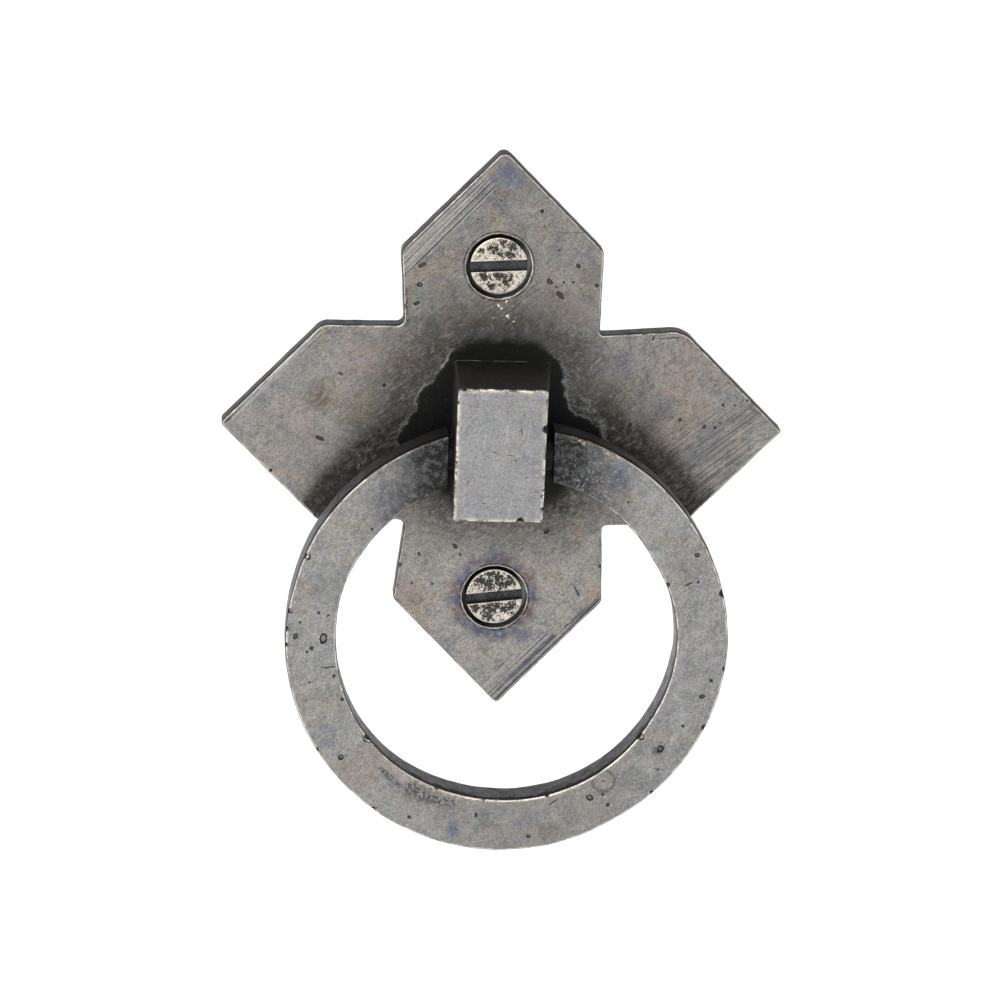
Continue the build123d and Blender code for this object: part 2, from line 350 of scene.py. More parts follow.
def settle(bm, name, body, sharp=38):
    """Turns a finished bmesh into a piece that rides on a body and stands for the CAD node of its name."""
    bmesh.ops.remove_doubles(bm, verts=bm.verts, dist=0.0001)
    bmesh.ops.triangulate(bm, faces=bm.faces)
    doubled = {}
    for face in bm.faces:
        doubled.setdefault(frozenset(face.verts), []).append(face)
    spurs = [face for faces in doubled.values() if len(faces) > 1 for face in faces]
    bmesh.ops.delete(bm, geom=spurs, context="FACES")
    flaps = [face for face in bm.faces if any(edge.is_boundary for edge in face.edges)]
    bmesh.ops.delete(bm, geom=flaps, context="FACES")
    bmesh.ops.scale(bm, verts=bm.verts, vec=(MM, MM, MM))
    for face in bm.faces:
        face.smooth = True
    for edge in bm.edges:
        edge.smooth = len(edge.link_faces) == 2 and edge.calc_face_angle(0.0) < math.radians(sharp)
    piece = as_object(bm, name, "aged_")
    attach(piece, body)
    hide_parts(name)
    return piece


def shape_back_plate():
    bm = block([(x, z) for x, z, soft in PLATE_CORNERS], 0, PLATE_FRONT)
    for x, z, soft in PLATE_CORNERS:
        soften(bm, edges_where(bm, lambda end: math.hypot(end.x - x, end.z - z) < 0.01), soft, 5)
    face = min(bm.faces, key=lambda f: f.calc_center_median().y)
    outline = [(v.co.x, v.co.z) for v in face.verts]
    soften(bm, edges_where(bm, lambda end: end.y < PLATE_FRONT + 0.01), FRONT_SOFTENING)
    soften(bm, edges_where(bm, lambda end: end.y > -0.01), BACK_SOFTENING)
    counterbore = [
        (0, -4), (RIM_RADIUS + 0.1, -4), (RIM_RADIUS + 0.1, PLATE_FRONT),
        (RIM_RADIUS + 0.05, PLATE_FRONT + 0.04), (RIM_RADIUS, PLATE_FRONT + 0.18), (RIM_RADIUS, BORE_FLOOR),
        (SCREW_HOLE, BORE_FLOOR), (SCREW_HOLE, 1), (0, 1),
    ]
    tenon_hole = [
        (0, -4), (TENON_HOLE, -4), (TENON_HOLE, FLARE_START), (FLARE_RADIUS, 0),
        (FLARE_RADIUS + 0.2, 0.2), (0, 0.2),
    ]
    cutters = [turned(counterbore, *place) for place in SCREW_PLACES.values()]
    bm = cut_out(bm, [*cutters, turned(tenon_hole, 0, 0)])
    rule_squares(bm, lambda f: f.calc_center_median().y < -0.25, (-37.8, 38.4), (-39.9, 38.3), FRONT_PITCH)
    rule_squares(bm, lambda f: f.normal.y > 0.5, (-37.5, 38.2), (-39.6, 38.0), BACK_PITCH)
    rule_off(bm, [f for f in bm.faces if abs(f.normal.y) < 0.3], DEPTH, [-2.3, -1.8, -1.2, -0.7])
    refine(bm, PLATE_PITS + PLATE_FLECKS, PLATE_NICKS, PLATE_FRONT)
    bm.normal_update()
    age_back_plate(bm, outline)
    return settle(bm, "back_plate", "plate")


def age_back_plate(bm, outline):
    """Notes for the material where everything on the plate lies, then wears the plate's form."""
    across, depth, up = places_of(bm)
    from_screws = np.minimum(*[np.hypot(across - x, up - z) for x, z in SCREW_PLACES.values()])
    rim = outline_distance(across, up, outline)
    rim = np.where(from_screws > RIM_RADIUS, np.minimum(rim, 1.5 * (from_screws - RIM_RADIUS)), rim)
    keep(bm, "rim", np.maximum(rim, 0))
    keep(bm, "wall", np.clip(depth - PLATE_FRONT, 0, 4))
    keep(bm, "bore", from_screws < RIM_RADIUS + 0.08)
    keep(bm, "behind", np.clip((depth + 0.5) / 0.4, 0, 1) * (rim > -0.5))
    keep(bm, "collar", np.clip(from_screws - RIM_RADIUS, -1, 9))
    # The right and lower sides of the counterbores face the light: the material paints them lighter there, as
    # painted light, and dark on the other sides, as painted shade
    lit = [
        ((across - x) * 0.78 - (up - z) * 0.63) / np.maximum(np.hypot(across - x, up - z), 0.1)
        for x, z in SCREW_PLACES.values()
    ]
    keep(bm, "lit", np.clip((np.where(up > 0, *lit) - 0.2) / 0.5, 0, 1))
    keep(bm, "patch", outline_distance(across, up, BLACK_PATCH))
    # How near the ring's bar and the post stand. Round them the plate is painted darker: partly painted shade
    # from the ring and the post, partly patina that no cloth reached to rub off
    bar_across, bar_up = BAR_MIDDLE
    ring_far = np.hypot(across - bar_across, up - bar_up)
    post_side = np.maximum(np.abs(across) - FOOT_HALF_WIDTH, 0)
    post_far = np.hypot(post_side, np.maximum(np.abs(up) - FOOT_HALF_HEIGHT, 0))
    fading = np.where(across < 0, 1.3, 1.9)
    from_bar = np.maximum(np.abs(ring_far - BAR_RADIUS) - 2.5, 0)
    beside_ring = np.exp(-from_bar / fading) * np.clip((up + 16) / 6, 0, 1)
    keep(bm, "shade_and_patina", np.maximum(beside_ring * (ring_far > 24), np.exp(-post_far / 2.0)))
    # Above and below the post the black fades softly into the rubbed grey
    above_post = np.clip((up - 8.0) / 3.0, 0, 1) * np.clip((8.0 - np.abs(across)) / 3.0, 0, 1)
    keep(bm, "softness", np.maximum(above_post, np.clip((-6.5 - up) / 2.5, 0, 1)))
    for name, strokes in PLATE_STROKES.items():
        keep(bm, name, band(across, up, strokes))
    wisps = [from_line(across, up, *ends) - half for *ends, half in PLATE_WISPS]
    keep(bm, "wisp", np.minimum(np.minimum.reduce(wisps), 2))
    keep_stains(bm, across, up, PLATE_STAINS)
    pit_layer = bm.verts.layers.float.new("pit")
    nick_layer = bm.verts.layers.float.new("nick")
    fleck_layer = bm.verts.layers.float.new("fleck")
    for v, from_screw in zip(bm.verts, from_screws):
        x, y, z = v.co
        v[pit_layer] = v[fleck_layer] = -1.0
        if y > -0.25:
            v.co.y -= 0.05 * abs(hump(x, z, 3.1, 5.5)) + 0.03 * abs(noise.noise(v.co / 0.9))
            continue
        near = nick_share(v.co, PLATE_NICKS, PLATE_FRONT)
        v[nick_layer] = near
        side = v.normal.copy()
        side.y = 0
        if y > PLATE_FRONT + 0.05 and math.hypot(x, z) > 12:
            ripple = hump(x, z, 2.5, y / 4) + 0.5 * noise.noise(Vector((x, y, z)) / 0.7)
            v.co -= side * 0.06 * ripple
            v.co -= side * 0.55 * near
        if from_screw < RIM_RADIUS + 0.3:
            v.co -= side * 0.1 * (hump(x, z, 1.6, 6.6) + 0.7 * hump(x, z, 0.6, y))
        if y < PLATE_FRONT + 0.35:
            v[pit_layer], deep = dent(x, z, PLATE_PITS)
            v[fleck_layer] = dent(x, z, PLATE_FLECKS)[0]
            wave = 0.05 * hump(x, z, 9, 1.7) + 0.02 * hump(x, z, 2.2, 4.1)
            grain = 0.010 * hump(x, z, 0.5, 8.3)
            drop = max(d * max(0.0, 1 - from_line(x, z, *ends) / w) for *ends, w, d in PLATE_FACETS)
            v.co.y += 0.03 + wave + grain + drop + deep + 0.5 * near


back_plate = shape_back_plate()


def feed(tree, node, inputs):
    """Links or sets a node's inputs, by name or number."""
    for key, value in inputs.items():
        socket = node.inputs[key]
        if isinstance(value, bpy.types.NodeSocket):
            tree.links.new(value, socket)
        else:
            socket.default_value = (*value, 1) if socket.type == "RGBA" else value


def add(tree, kind, inputs=None, out=0, **settings):
    """Adds a node and gives back one of its outputs."""
    node = tree.nodes.new(kind)
    for key, value in settings.items():
        setattr(node, key, value)
    feed(tree, node, inputs or {})
    return node.outputs[out]


def blend(tree, share, under, over, mode="MIX"):
    """One colour over another."""
    return add(tree, "ShaderNodeMix", {0: share, 6: under, 7: over}, 2, data_type="RGBA", blend_type=mode)


def coats(tree, colour, *layers):
    """Colours over a colour, one after the other, each with its share."""
    for share, tint in layers:
        colour = blend(tree, share, colour, tint)
    return colour


def calc(tree, operation, *values):
    """One sum on numbers."""
    return add(tree, "ShaderNodeMath", dict(enumerate(values)), operation=operation)


def times(tree, product, *factors):
    """Numbers times each other."""
    for factor in factors:
        product = calc(tree, "MULTIPLY", product, factor)
    return product


def scaled(tree, value, factor, offset):
    """A number times a factor, moved by an offset."""
    return calc(tree, "MULTIPLY_ADD", value, factor, offset)


def less(tree, value, other):
    """A number less another."""
    return calc(tree, "SUBTRACT", value, other)


def rise(tree, value, low, high, bottom=0.0, top=1.0):
    """A soft step from bottom to top as the value goes from low to high."""
    steps = {"Value": value, "From Min": low, "From Max": high, "To Min": bottom, "To Max": top}
    return add(tree, "ShaderNodeMapRange", steps, interpolation_type="SMOOTHSTEP")


def cloud_at(tree, place, scale, detail=3.0, roughness=0.6, distortion=0.0, out=0):
    """Cloudy noise. The scale is in lumps per metre."""
    lumps = {"Scale": scale, "Detail": detail, "Roughness": roughness, "Distortion": distortion}
    return add(tree, "ShaderNodeTexNoise", {"Vector": place, **lumps}, out)


def sway_at(tree, place, scale, detail, roughness):
    """Cloudy noise about 0, to make an edge wander."""
    return less(tree, cloud_at(tree, place, scale, detail, roughness), 0.5)


def spots(tree, place, cloud, *steps):
    """The spots where cloudy noise rises through a soft step."""
    return rise(tree, cloud_at(tree, place, *cloud), *steps)


def parts_of(tree, place):
    """A place's X, Y and Z."""
    split = tree.nodes.new("ShaderNodeSeparateXYZ")
    tree.links.new(place, split.inputs[0])
    return split.outputs


def new_group(name, inputs, outputs):
    """A shader node group: its tree, its inputs' inside ends, its end. An input is a kind or a number."""
    tree = bpy.data.node_groups.new(name, "ShaderNodeTree")
    for label, kind in {"Vector": VECTOR, **inputs}.items():
        number = isinstance(kind, float)
        socket = tree.interface.new_socket(name=label, in_out="INPUT", socket_type=NUMBER if number else kind)
        if number:
            socket.default_value = kind
    for label, kind in outputs.items():
        tree.interface.new_socket(name=label, in_out="OUTPUT", socket_type=kind)
    return tree, tree.nodes.new("NodeGroupInput").outputs, tree.nodes.new("NodeGroupOutput")


def use(tree, group, inputs):
    """Places a group in a material and gives back its outputs."""
    node = tree.nodes.new("ShaderNodeGroup")
    node.node_tree = group
    feed(tree, node, inputs)
    return node.outputs


NUMBER = "NodeSocketFloat"
COLOUR = "NodeSocketColor"
VECTOR = "NodeSocketVector"
BLACK = (0.0068, 0.0066, 0.0064)
SOOT = (0.019, 0.0175, 0.016)
EDGE_METAL = (0.53, 0.495, 0.43)


def build_patina():
    """Patina: a grey skin clouded warm and cool, grained by rubbing, with dark mottling and bright specks."""
    tints = dict.fromkeys(("Light", "Dark", "Warm", "Cool", "Speck"), COLOUR)
    tree, given, end = new_group(
        "bronze_patina", {**tints, "Strokes": 0.0, "Specks": 0.5, "Clouds": 0.45},
        {"Color": COLOUR, "Height": NUMBER, "Tone": NUMBER},
    )
    place = given["Vector"]
    warmth = cloud_at(tree, place, 130, 4, 0.6, 0.4)
    drift = cloud_at(tree, place, 380, 5, 0.62, 0.5)
    mottle = cloud_at(tree, place, 1300, 4, 0.7)
    grain = cloud_at(tree, place, 4300, 3, 0.75)
    crumbs = cloud_at(tree, place, 3300, 2, 0.6)
    hues = cloud_at(tree, place, 1900.0, 3.0, 0.7, out=1)
    broad = less(tree, scaled(tree, drift, 0.5, times(tree, mottle, 0.5)), 0.5)
    fine = scaled(tree, given["Strokes"], 0.35, grain)
    tone = scaled(tree, fine, 0.55, scaled(tree, broad, given["Clouds"], 0.225))
    skin = blend(tree, rise(tree, tone, 0.38, 0.62), given["Dark"], given["Light"])
    skin = blend(tree, 0.42, skin, hues, "SOFT_LIGHT")
    skin = blend(tree, rise(tree, warmth, 0.48, 0.66, 0, 0.8), skin, given["Warm"], "MULTIPLY")
    skin = blend(tree, rise(tree, drift, 0.48, 0.36, 0, 0.6), skin, given["Cool"], "MULTIPLY")
    skin = blend(tree, rise(tree, crumbs, 0.36, 0.30, 0, 0.55), skin, given["Dark"], "MULTIPLY")
    speck = times(tree, rise(tree, crumbs, 0.63, 0.72), given["Specks"])
    skin = blend(tree, speck, skin, given["Speck"])
    feed(tree, end, {"Color": skin, "Height": scaled(tree, speck, 0.3, tone), "Tone": tone})
    return tree


def build_rubbed():
    """Rubbed edge: bare metal within a ragged distance of an edge, broken here and there."""
    tree, given, end = new_group(
        "rubbed_edge", {"Distance": 1.0, "Width": 0.3, "Ragged": 0.3}, {"Mask": NUMBER}
    )
    place = given["Vector"]
    far = scaled(tree, sway_at(tree, place, 1300, 5, 0.72), given["Ragged"], given["Distance"])
    mask = rise(tree, calc(tree, "DIVIDE", far, given["Width"]), 1.2, 0.7)
    feed(tree, end, {"Mask": times(tree, mask, spots(tree, place, (420, 5, 0.7), 0.41, 0.55, 0.12, 1))})
    return tree


def build_scratches():
    """Scratches: thin straight lines, long along the first axis of the place that is given."""
    tree, given, end = new_group(
        "hand_scratches", {"Fine": 5200.0, "Long": 180.0, "Density": 0.3, "Amount": 0.5},
        {"Mask": NUMBER, "Line": NUMBER},
    )
    stretch = {"X": given["Long"], "Y": given["Long"], "Z": given["Fine"]}
    parts = parts_of(tree, given["Vector"])
    drawn_out = {axis: times(tree, parts[axis], stretch[axis]) for axis in stretch}
    stretched = add(tree, "ShaderNodeCombineXYZ", drawn_out)
    line = cloud_at(tree, stretched, 1.0, 2, 0.55)
    thin = rise(tree, less(tree, line, scaled(tree, given["Density"], -0.25, 0.66)), 0.0, 0.08)
    kept = spots(tree, given["Vector"], (260, 2, 0.5), 0.4, 0.55, 0.15, 1)
    feed(tree, end, {"Mask": times(tree, thin, kept, given["Amount"]), "Line": line})
    return tree


def line_at(tree, place, fine, long):
    """How near each place is to a stroke's line. Strokes run along the place's first axis."""
    return use(tree, scratches, {"Vector": place, "Fine": fine, "Long": long})["Line"]


def scratched(tree, place, fine, long, density, amount):
    """Where thin scratches lie, along the place's first axis."""
    settings = {"Vector": place, "Fine": fine, "Long": long, "Density": density, "Amount": amount}
    return use(tree, scratches, settings)["Mask"]


def build_file_marks():
    """File marks: lines side by side in filed stretches, black where the file bit and bright between."""
    tree, given, end = new_group(
        "file_marks", {"Stretch": 0.0, "Fine": 4100.0, "Long": 45.0}, {"Dark": NUMBER, "Bright": NUMBER}
    )
    line = line_at(tree, given["Vector"], given["Fine"], given["Long"])
    broken = sway_at(tree, given["Vector"], 700, 3, 0.6)
    stretch = rise(tree, scaled(tree, broken, 1.1, given["Stretch"]), 0.25, 0.6)
    dark = times(tree, rise(tree, line, 0.525, 0.56), stretch)
    bright = times(tree, rise(tree, line, 0.46, 0.42), stretch)
    feed(tree, end, {"Dark": dark, "Bright": bright})
    return tree


def build_pit_marks():
    """Pits and nicks: dark holes with a paler floor in the largest, and a thin bright lip here and there."""
    tree, given, end = new_group("pit_marks", {"Color": COLOUR, "Pit": -1.0, "Nick": 0.0}, {"Color": COLOUR})
    place = given["Vector"]
    ragged = sway_at(tree, place, 3800, 2, 0.6)
    pit = scaled(tree, ragged, 0.12, given["Pit"])
    nick = scaled(tree, ragged, 0.8, given["Nick"])
    lip = times(tree, rise(tree, pit, -0.10, -0.03), spots(tree, place, (700, 2, 0.5), 0.48, 0.6), 0.45)
    hole = blend(tree, rise(tree, pit, 0.24, 0.32, 0, 0.7), (0.022, 0.021, 0.021), (0.19, 0.187, 0.18))
    colour = coats(
        tree, given["Color"],
        (lip, (0.36, 0.345, 0.31)),
        (rise(tree, pit, -0.02, 0.05, 0, 0.85), hole),
        (rise(tree, nick, 0.22, 0.42, 0, 0.93), (0.012, 0.012, 0.012)),
    )
    feed(tree, end, {"Color": colour})
    return tree


def build_stain_cover():
    """Stains: colours left by heat, oil and sulphur, crumbled into the patina below them."""
    tree, given, end = new_group(
        "stain_cover", {"Color": COLOUR, "Stain": COLOUR, "Strength": 0.0, "Streaks": 0.5}, {"Color": COLOUR}
    )
    crumbs = cloud_at(tree, given["Vector"], 2000, 5, 0.75)
    crumbled = scaled(tree, crumbs, 0.5, times(tree, given["Streaks"], 0.5))
    share = times(tree, given["Strength"], rise(tree, crumbled, 0.42, 0.54, 0.25, 1))
    feed(tree, end, {"Color": blend(tree, share, given["Color"], given["Stain"])})
    return tree


def build_side_skin():
    """A side face: its own greys, and a line of black patina along its front edge that breaks up behind."""
    tree, given, end = new_group(
        "side_skin",
        {
            "Color": COLOUR, "Depth": 0.0, "Start": 0.1, "Tone": 0.5,
            "Dark": COLOUR, "Light": COLOUR, "Line": 0.4,
        },
        {"Color": COLOUR},
    )
    side = rise(tree, given["Depth"], given["Start"], calc(tree, "ADD", given["Start"], 0.06))
    worked = cloud_at(tree, given["Vector"], 620, 5, 0.7, 0.5)
    shade = scaled(tree, worked, 0.6, times(tree, given["Tone"], 0.4))
    greys = blend(tree, rise(tree, shade, 0.4, 0.6), given["Dark"], given["Light"])
    wander = sway_at(tree, given["Vector"], 330, 9, 0.72)
    reach = times(tree, scaled(tree, wander, 3.8, 0.65), given["Line"])
    past = less(tree, less(tree, given["Depth"], given["Start"]), reach)
    line = times(tree, side, rise(tree, past, 0.22, -0.22, 0, 0.9))
    feed(tree, end, {"Color": coats(tree, given["Color"], (side, greys), (line, BLACK))})
    return tree


def build_rough_back():
    """Rough back: a cast face left unpolished, umber and black, pored by sand and dusted with pale oxide."""
    tree, given, end = new_group("rough_back", {"Color": COLOUR, "Share": 0.0}, {"Color": COLOUR})
    place = given["Vector"]
    raw = coats(
        tree, (0.060, 0.055, 0.050),
        (spots(tree, place, (1500, 5, 0.72), 0.40, 0.62), (0.185, 0.174, 0.158)),
        (spots(tree, place, (190, 5, 0.68, 0.6), 0.42, 0.60, 0, 0.75), (0.050, 0.045, 0.040)),
        (spots(tree, place, (420, 6, 0.75, 0.8), 0.56, 0.66, 0, 0.5), (0.20, 0.215, 0.195)),
        (spots(tree, place, (2600, 2, 0.5), 0.35, 0.30, 0, 0.85), BLACK),
    )
    feed(tree, end, {"Color": blend(tree, given["Share"], given["Color"], raw)})
    return tree


patina = build_patina()
rubbed = build_rubbed()
scratches = build_scratches()
file_marks = build_file_marks()
pit_marks = build_pit_marks()
stain_cover = build_stain_cover()
side_skin = build_side_skin()
rough_back = build_rough_back()


def new_material(name):
    """An empty Principled material: its tree, its shader and the piece's own place."""
    material = bpy.data.materials.new(name)
    material.use_nodes = True
    tree = material.node_tree
    return material, tree, tree.nodes["Principled BSDF"], add(tree, "ShaderNodeTexCoord", out="Object")


def read(tree, name):
    """A number kept for each point of the piece."""
    return add(tree, "ShaderNodeAttribute", out="Fac", attribute_name=name)


def bare_edge(tree, place, distance, width, ragged):
    """Where an edge is rubbed bare."""
    edge = {"Distance": distance, "Width": width, "Ragged": ragged}
    return use(tree, rubbed, {"Vector": place, **edge})["Mask"]


def stained(tree, place, colour, streaks):
    """The stains kept on the piece, over a colour."""
    stain = tree.nodes.new("ShaderNodeAttribute")
    stain.attribute_name = "stain"
    layer = {"Stain": stain.outputs["Color"], "Strength": stain.outputs["Alpha"], "Streaks": streaks}
    return use(tree, stain_cover, {"Vector": place, "Color": colour, **layer})["Color"]


def pitted(tree, place, colour):
    """The pits and nicks kept on the piece, over a colour."""
    marks = {"Vector": place, "Color": colour, "Pit": read(tree, "pit"), "Nick": read(tree, "nick")}
    return use(tree, pit_marks, marks)["Color"]


def sided(tree, place, colour, wall, skin, start, dark, light, line):
    """The side faces' greys, over a colour, from just behind the front edge."""
    faces = {"Vector": place, "Color": colour, "Depth": wall, "Start": start, "Tone": skin["Tone"]}
    return use(tree, side_skin, {**faces, "Dark": dark, "Light": light, "Line": line})["Color"]


def backed(tree, place, colour, share):
    """The rough back, over a colour."""
    return use(tree, rough_back, {"Vector": place, "Color": colour, "Share": share})["Color"]


def turned_place(tree, place, degrees):
    """The piece's place, turned in the plane of the plate so that its first axis runs along a stroke."""
    return add(tree, "ShaderNodeMapping", {"Vector": place, "Rotation": (0, math.radians(degrees), 0)})


def smoothness(tree, skin, dark, light, worn, polish):
    """Roughness from the skin's dark to its light, less where an edge is worn."""
    return less(tree, rise(tree, skin["Tone"], 0.35, 0.6, dark, light), times(tree, worn, polish))


def finish_surface(tree, shader, colour, metal, rough, height, strength, reach=0.0001):
    """Feeds the shader, with the fine relief as a bump."""
    bump = add(tree, "ShaderNodeBump", {"Strength": strength, "Distance": reach, "Height": height})
    feed(tree, shader, {"Base Color": colour, "Metallic": metal, "Roughness": rough, "Normal": bump})


def plate_material():
    material, tree, shader, place = new_material("plate_patina")
    along_edges = turned_place(tree, place, 46)
    rising = turned_place(tree, place, 38)
    falling = turned_place(tree, place, -38)
    level = turned_place(tree, place, 4)
    skin = use(tree, patina, {
        "Vector": place, "Light": (0.292, 0.279, 0.261), "Dark": (0.140, 0.134, 0.125),
        "Warm": (1.0, 0.90, 0.80), "Cool": (0.84, 0.91, 1.0), "Speck": (0.40, 0.37, 0.32),
        "Strokes": less(tree, line_at(tree, rising, 4600.0, 700.0), 0.5), "Specks": 0.6, "Clouds": 0.4,
    })
    wander = sway_at(tree, place, 420, 6, 0.7)
    blotches = cloud_at(tree, place, 1000, 5, 0.75)
    up = parts_of(tree, place)["Z"]
    # Painted shade: the plate is darkened towards the top, which takes less light than the lower arm
    colour = blend(tree, rise(tree, up, -0.026, 0.032), skin["Color"], (0.74, 0.74, 0.75), "MULTIPLY")
    colour = stained(tree, place, colour, line_at(tree, along_edges, 2600.0, 500.0))
    # Colours of heat bloom round the lower screw
    collar = read(tree, "collar")
    bloom = times(
        tree, rise(tree, scaled(tree, wander, 2.6, collar), 2.5, 0.9, 0, 0.95), rise(tree, up, 0.001, -0.001),
        rise(tree, blotches, 0.40, 0.56, 0.4, 1),
    )
    blue_spots = spots(tree, place, (330, 2, 0.5), 0.44, 0.54)
    heat = blend(tree, blue_spots, (0.060, 0.067, 0.108), (0.100, 0.070, 0.074))
    filed = use(tree, file_marks, {"Vector": along_edges, "Stretch": read(tree, "filed")})
    brushed = use(tree, file_marks, {
        "Vector": rising, "Stretch": read(tree, "brushed"), "Fine": 7600.0, "Long": 85.0,
    })
    colour = coats(
        tree, colour,
        (bloom, heat),
        (times(tree, brushed["Dark"], 0.72), (0.046, 0.049, 0.060)),
        (times(tree, brushed["Bright"], 0.3), (0.29, 0.28, 0.265)),
        (times(tree, filed["Dark"], 0.82), (0.036, 0.038, 0.048)),
        (times(tree, filed["Bright"], 0.55), (0.31, 0.31, 0.305)),
        (scratched(tree, level, 6500.0, 180.0, 0.2, 0.25), (0.33, 0.32, 0.30)),
        (scratched(tree, falling, 5200.0, 240.0, 0.2, 0.35), (0.075, 0.072, 0.068)),
    )
    # Dark patina spreads from the black patch. Round the ring and the post the plate is darker still, partly
    # as painted shade and partly as patina. Grit lies in it and on the right arm.
    patch = scaled(tree, wander, 2.8, read(tree, "patch"))
    smudge = times(tree, rise(tree, patch, -10.5, -0.5, 0, 0.96), rise(tree, blotches, 0.38, 0.56, 0.4, 1))
    # Painted shade round the ring's bar and the post, mixed with patina
    shade_and_grime = rise(tree, scaled(tree, wander, 0.9, read(tree, "shade_and_patina")), 0.0, 0.85, 0, 0.92)
    tarnish = blend(tree, rise(tree, blotches, 0.44, 0.6), (0.013, 0.012, 0.011), (0.060, 0.054, 0.046))
    right_arm = rise(tree, parts_of(tree, place)["X"], 0.013, 0.019, 0, 0.85)
    near = calc(tree, "MAXIMUM", rise(tree, patch, -12.0, -3.0), right_arm)
    grit = cloud_at(tree, place, 1500, 6, 0.85, 0.6)
    colour = coats(
        tree, colour,
        (smudge, tarnish),
        (shade_and_grime, tarnish),
        (times(tree, near, scratched(tree, rising, 5200.0, 650.0, 0.4, 0.42)), (0.26, 0.255, 0.245)),
        (times(tree, near, scratched(tree, rising, 6100.0, 450.0, 0.4, 0.35)), (0.026, 0.025, 0.024)),
        (times(tree, near, rise(tree, grit, 0.56, 0.63, 0, 0.4)), (0.235, 0.225, 0.205)),
        (times(tree, near, rise(tree, grit, 0.45, 0.38, 0, 0.65)), (0.026, 0.024, 0.022)),
    )
    # The black patch, a grey arc above it, a pale lip where cloths stopped, and wisps beside the post
    soft = read(tree, "softness")
    arc = times(
        tree, rise(tree, patch, -1.9, -1.2), rise(tree, patch, -0.2, -0.8), rise(tree, up, 0.0, 0.004), soft,
        rise(tree, blotches, 0.42, 0.58, 0.0, 0.5),
    )
    inside = rise(tree, patch, scaled(tree, soft, -1.5, -0.1), 0.35)
    black = blend(tree, spots(tree, place, (2600, 3, 0.7), 0.60, 0.68, 0, 0.5), BLACK, (0.035, 0.032, 0.026))
    lip = times(
        tree, rise(tree, patch, -0.36, -0.14), rise(tree, patch, 0.08, -0.06),
        spots(tree, place, (260, 3, 0.6), 0.42, 0.58, 0.0, 0.9), rise(tree, soft, 0.7, 0.0),
        rise(tree, up, 0.0, 0.008, 0.35, 1),
    )
    wisps = rise(tree, scaled(tree, wander, 1.3, read(tree, "wisp")), 0.25, -0.2, 0, 0.8)
    haze = times(tree, wisps, spots(tree, place, (1500, 5, 0.75, 1.2), 0.44, 0.56))
    smear = times(tree, read(tree, "smear"), rise(tree, blotches, 0.42, 0.52, 0, 0.7))
    outline = times(
        tree, rise(tree, collar, 0.18, 0.28), rise(tree, collar, 0.55, 0.38),
        rise(tree, blotches, 0.42, 0.56, 0.3, 0.85),
    )
    fleck = scaled(tree, sway_at(tree, place, 2600, 3, 0.6), 0.2, read(tree, "fleck"))
    colour = coats(
        tree, colour,
        (arc, (0.086, 0.088, 0.094)),
        (inside, black),
        (lip, (0.235, 0.245, 0.255)),
        (haze, (0.150, 0.157, 0.168)),
        (smear, SOOT),
        (outline, SOOT),
        (rise(tree, fleck, -0.02, 0.05), (0.58, 0.52, 0.40)),
    )
    colour = pitted(tree, place, colour)
    wall = read(tree, "wall")
    bore = read(tree, "bore")
    # Painted light and shade in the counterbores: lighter on their right and lower sides, dark on the rest
    shade = blend(tree, read(tree, "lit"), (0.035, 0.032, 0.028), (0.19, 0.19, 0.183))
    dark = blend(tree, bore, (0.095, 0.092, 0.094), shade)
    light = blend(tree, bore, (0.20, 0.197, 0.198), shade)
    colour = sided(tree, place, colour, wall, skin, 0.07, dark, light, rise(tree, bore, 1, 0, 0.0, 0.3))
    colour = backed(tree, place, colour, read(tree, "behind"))
    worn = times(
        tree, bare_edge(tree, place, read(tree, "rim"), 0.28, 0.3), rise(tree, wall, 0.1, 0.05),
        rise(tree, patch, 0.2, -0.6, 0.12, 0.72),
    )
    colour = blend(tree, worn, colour, EDGE_METAL)
    metal = rise(tree, skin["Tone"], 0.3, 0.6, 0.72, 0.9)
    rough = smoothness(tree, skin, 0.62, 0.48, worn, 0.14)
    height = less(tree, skin["Height"], times(tree, filed["Dark"], 0.6))
    finish_surface(tree, shader, colour, metal, rough, height, 0.35, 0.00012)
    return material


back_plate.data.materials.append(plate_material())


# Post. A bronze block that narrows to its front and leans a little to the left. Its front is rubbed pale and
# chipped along the edges, its sides are black. A tenon behind it goes through the plate and is hammered over
# as a rivet.
POST_HALF_WIDTH = 6.525
POST_HALF_HEIGHT = 9.2
POST_FRONT_FACE = -17.4
POST_TAPER = 12.05 / 13.05
POST_LEAN = -0.85
POST_TURN = math.radians(0.8)
HOLE_DEPTH = -10.2
HOLE_UP = -1.85
HOLE_RADIUS = 2.18
POST_SOFTENING = 0.5
POST_RIM_SOFTENING = 0.3
POST_PITCH = 0.2
POST_DEPTH_PITCH = 0.35
# The riveted tenon's profile: radius, depth
RIVET = [(0, -3.4), (3.5, -3.4), (3.5, -1.2), (4.5, -0.3), (4.42, -0.17), (0, -0.17)]
RIVET_PITCH = 0.4
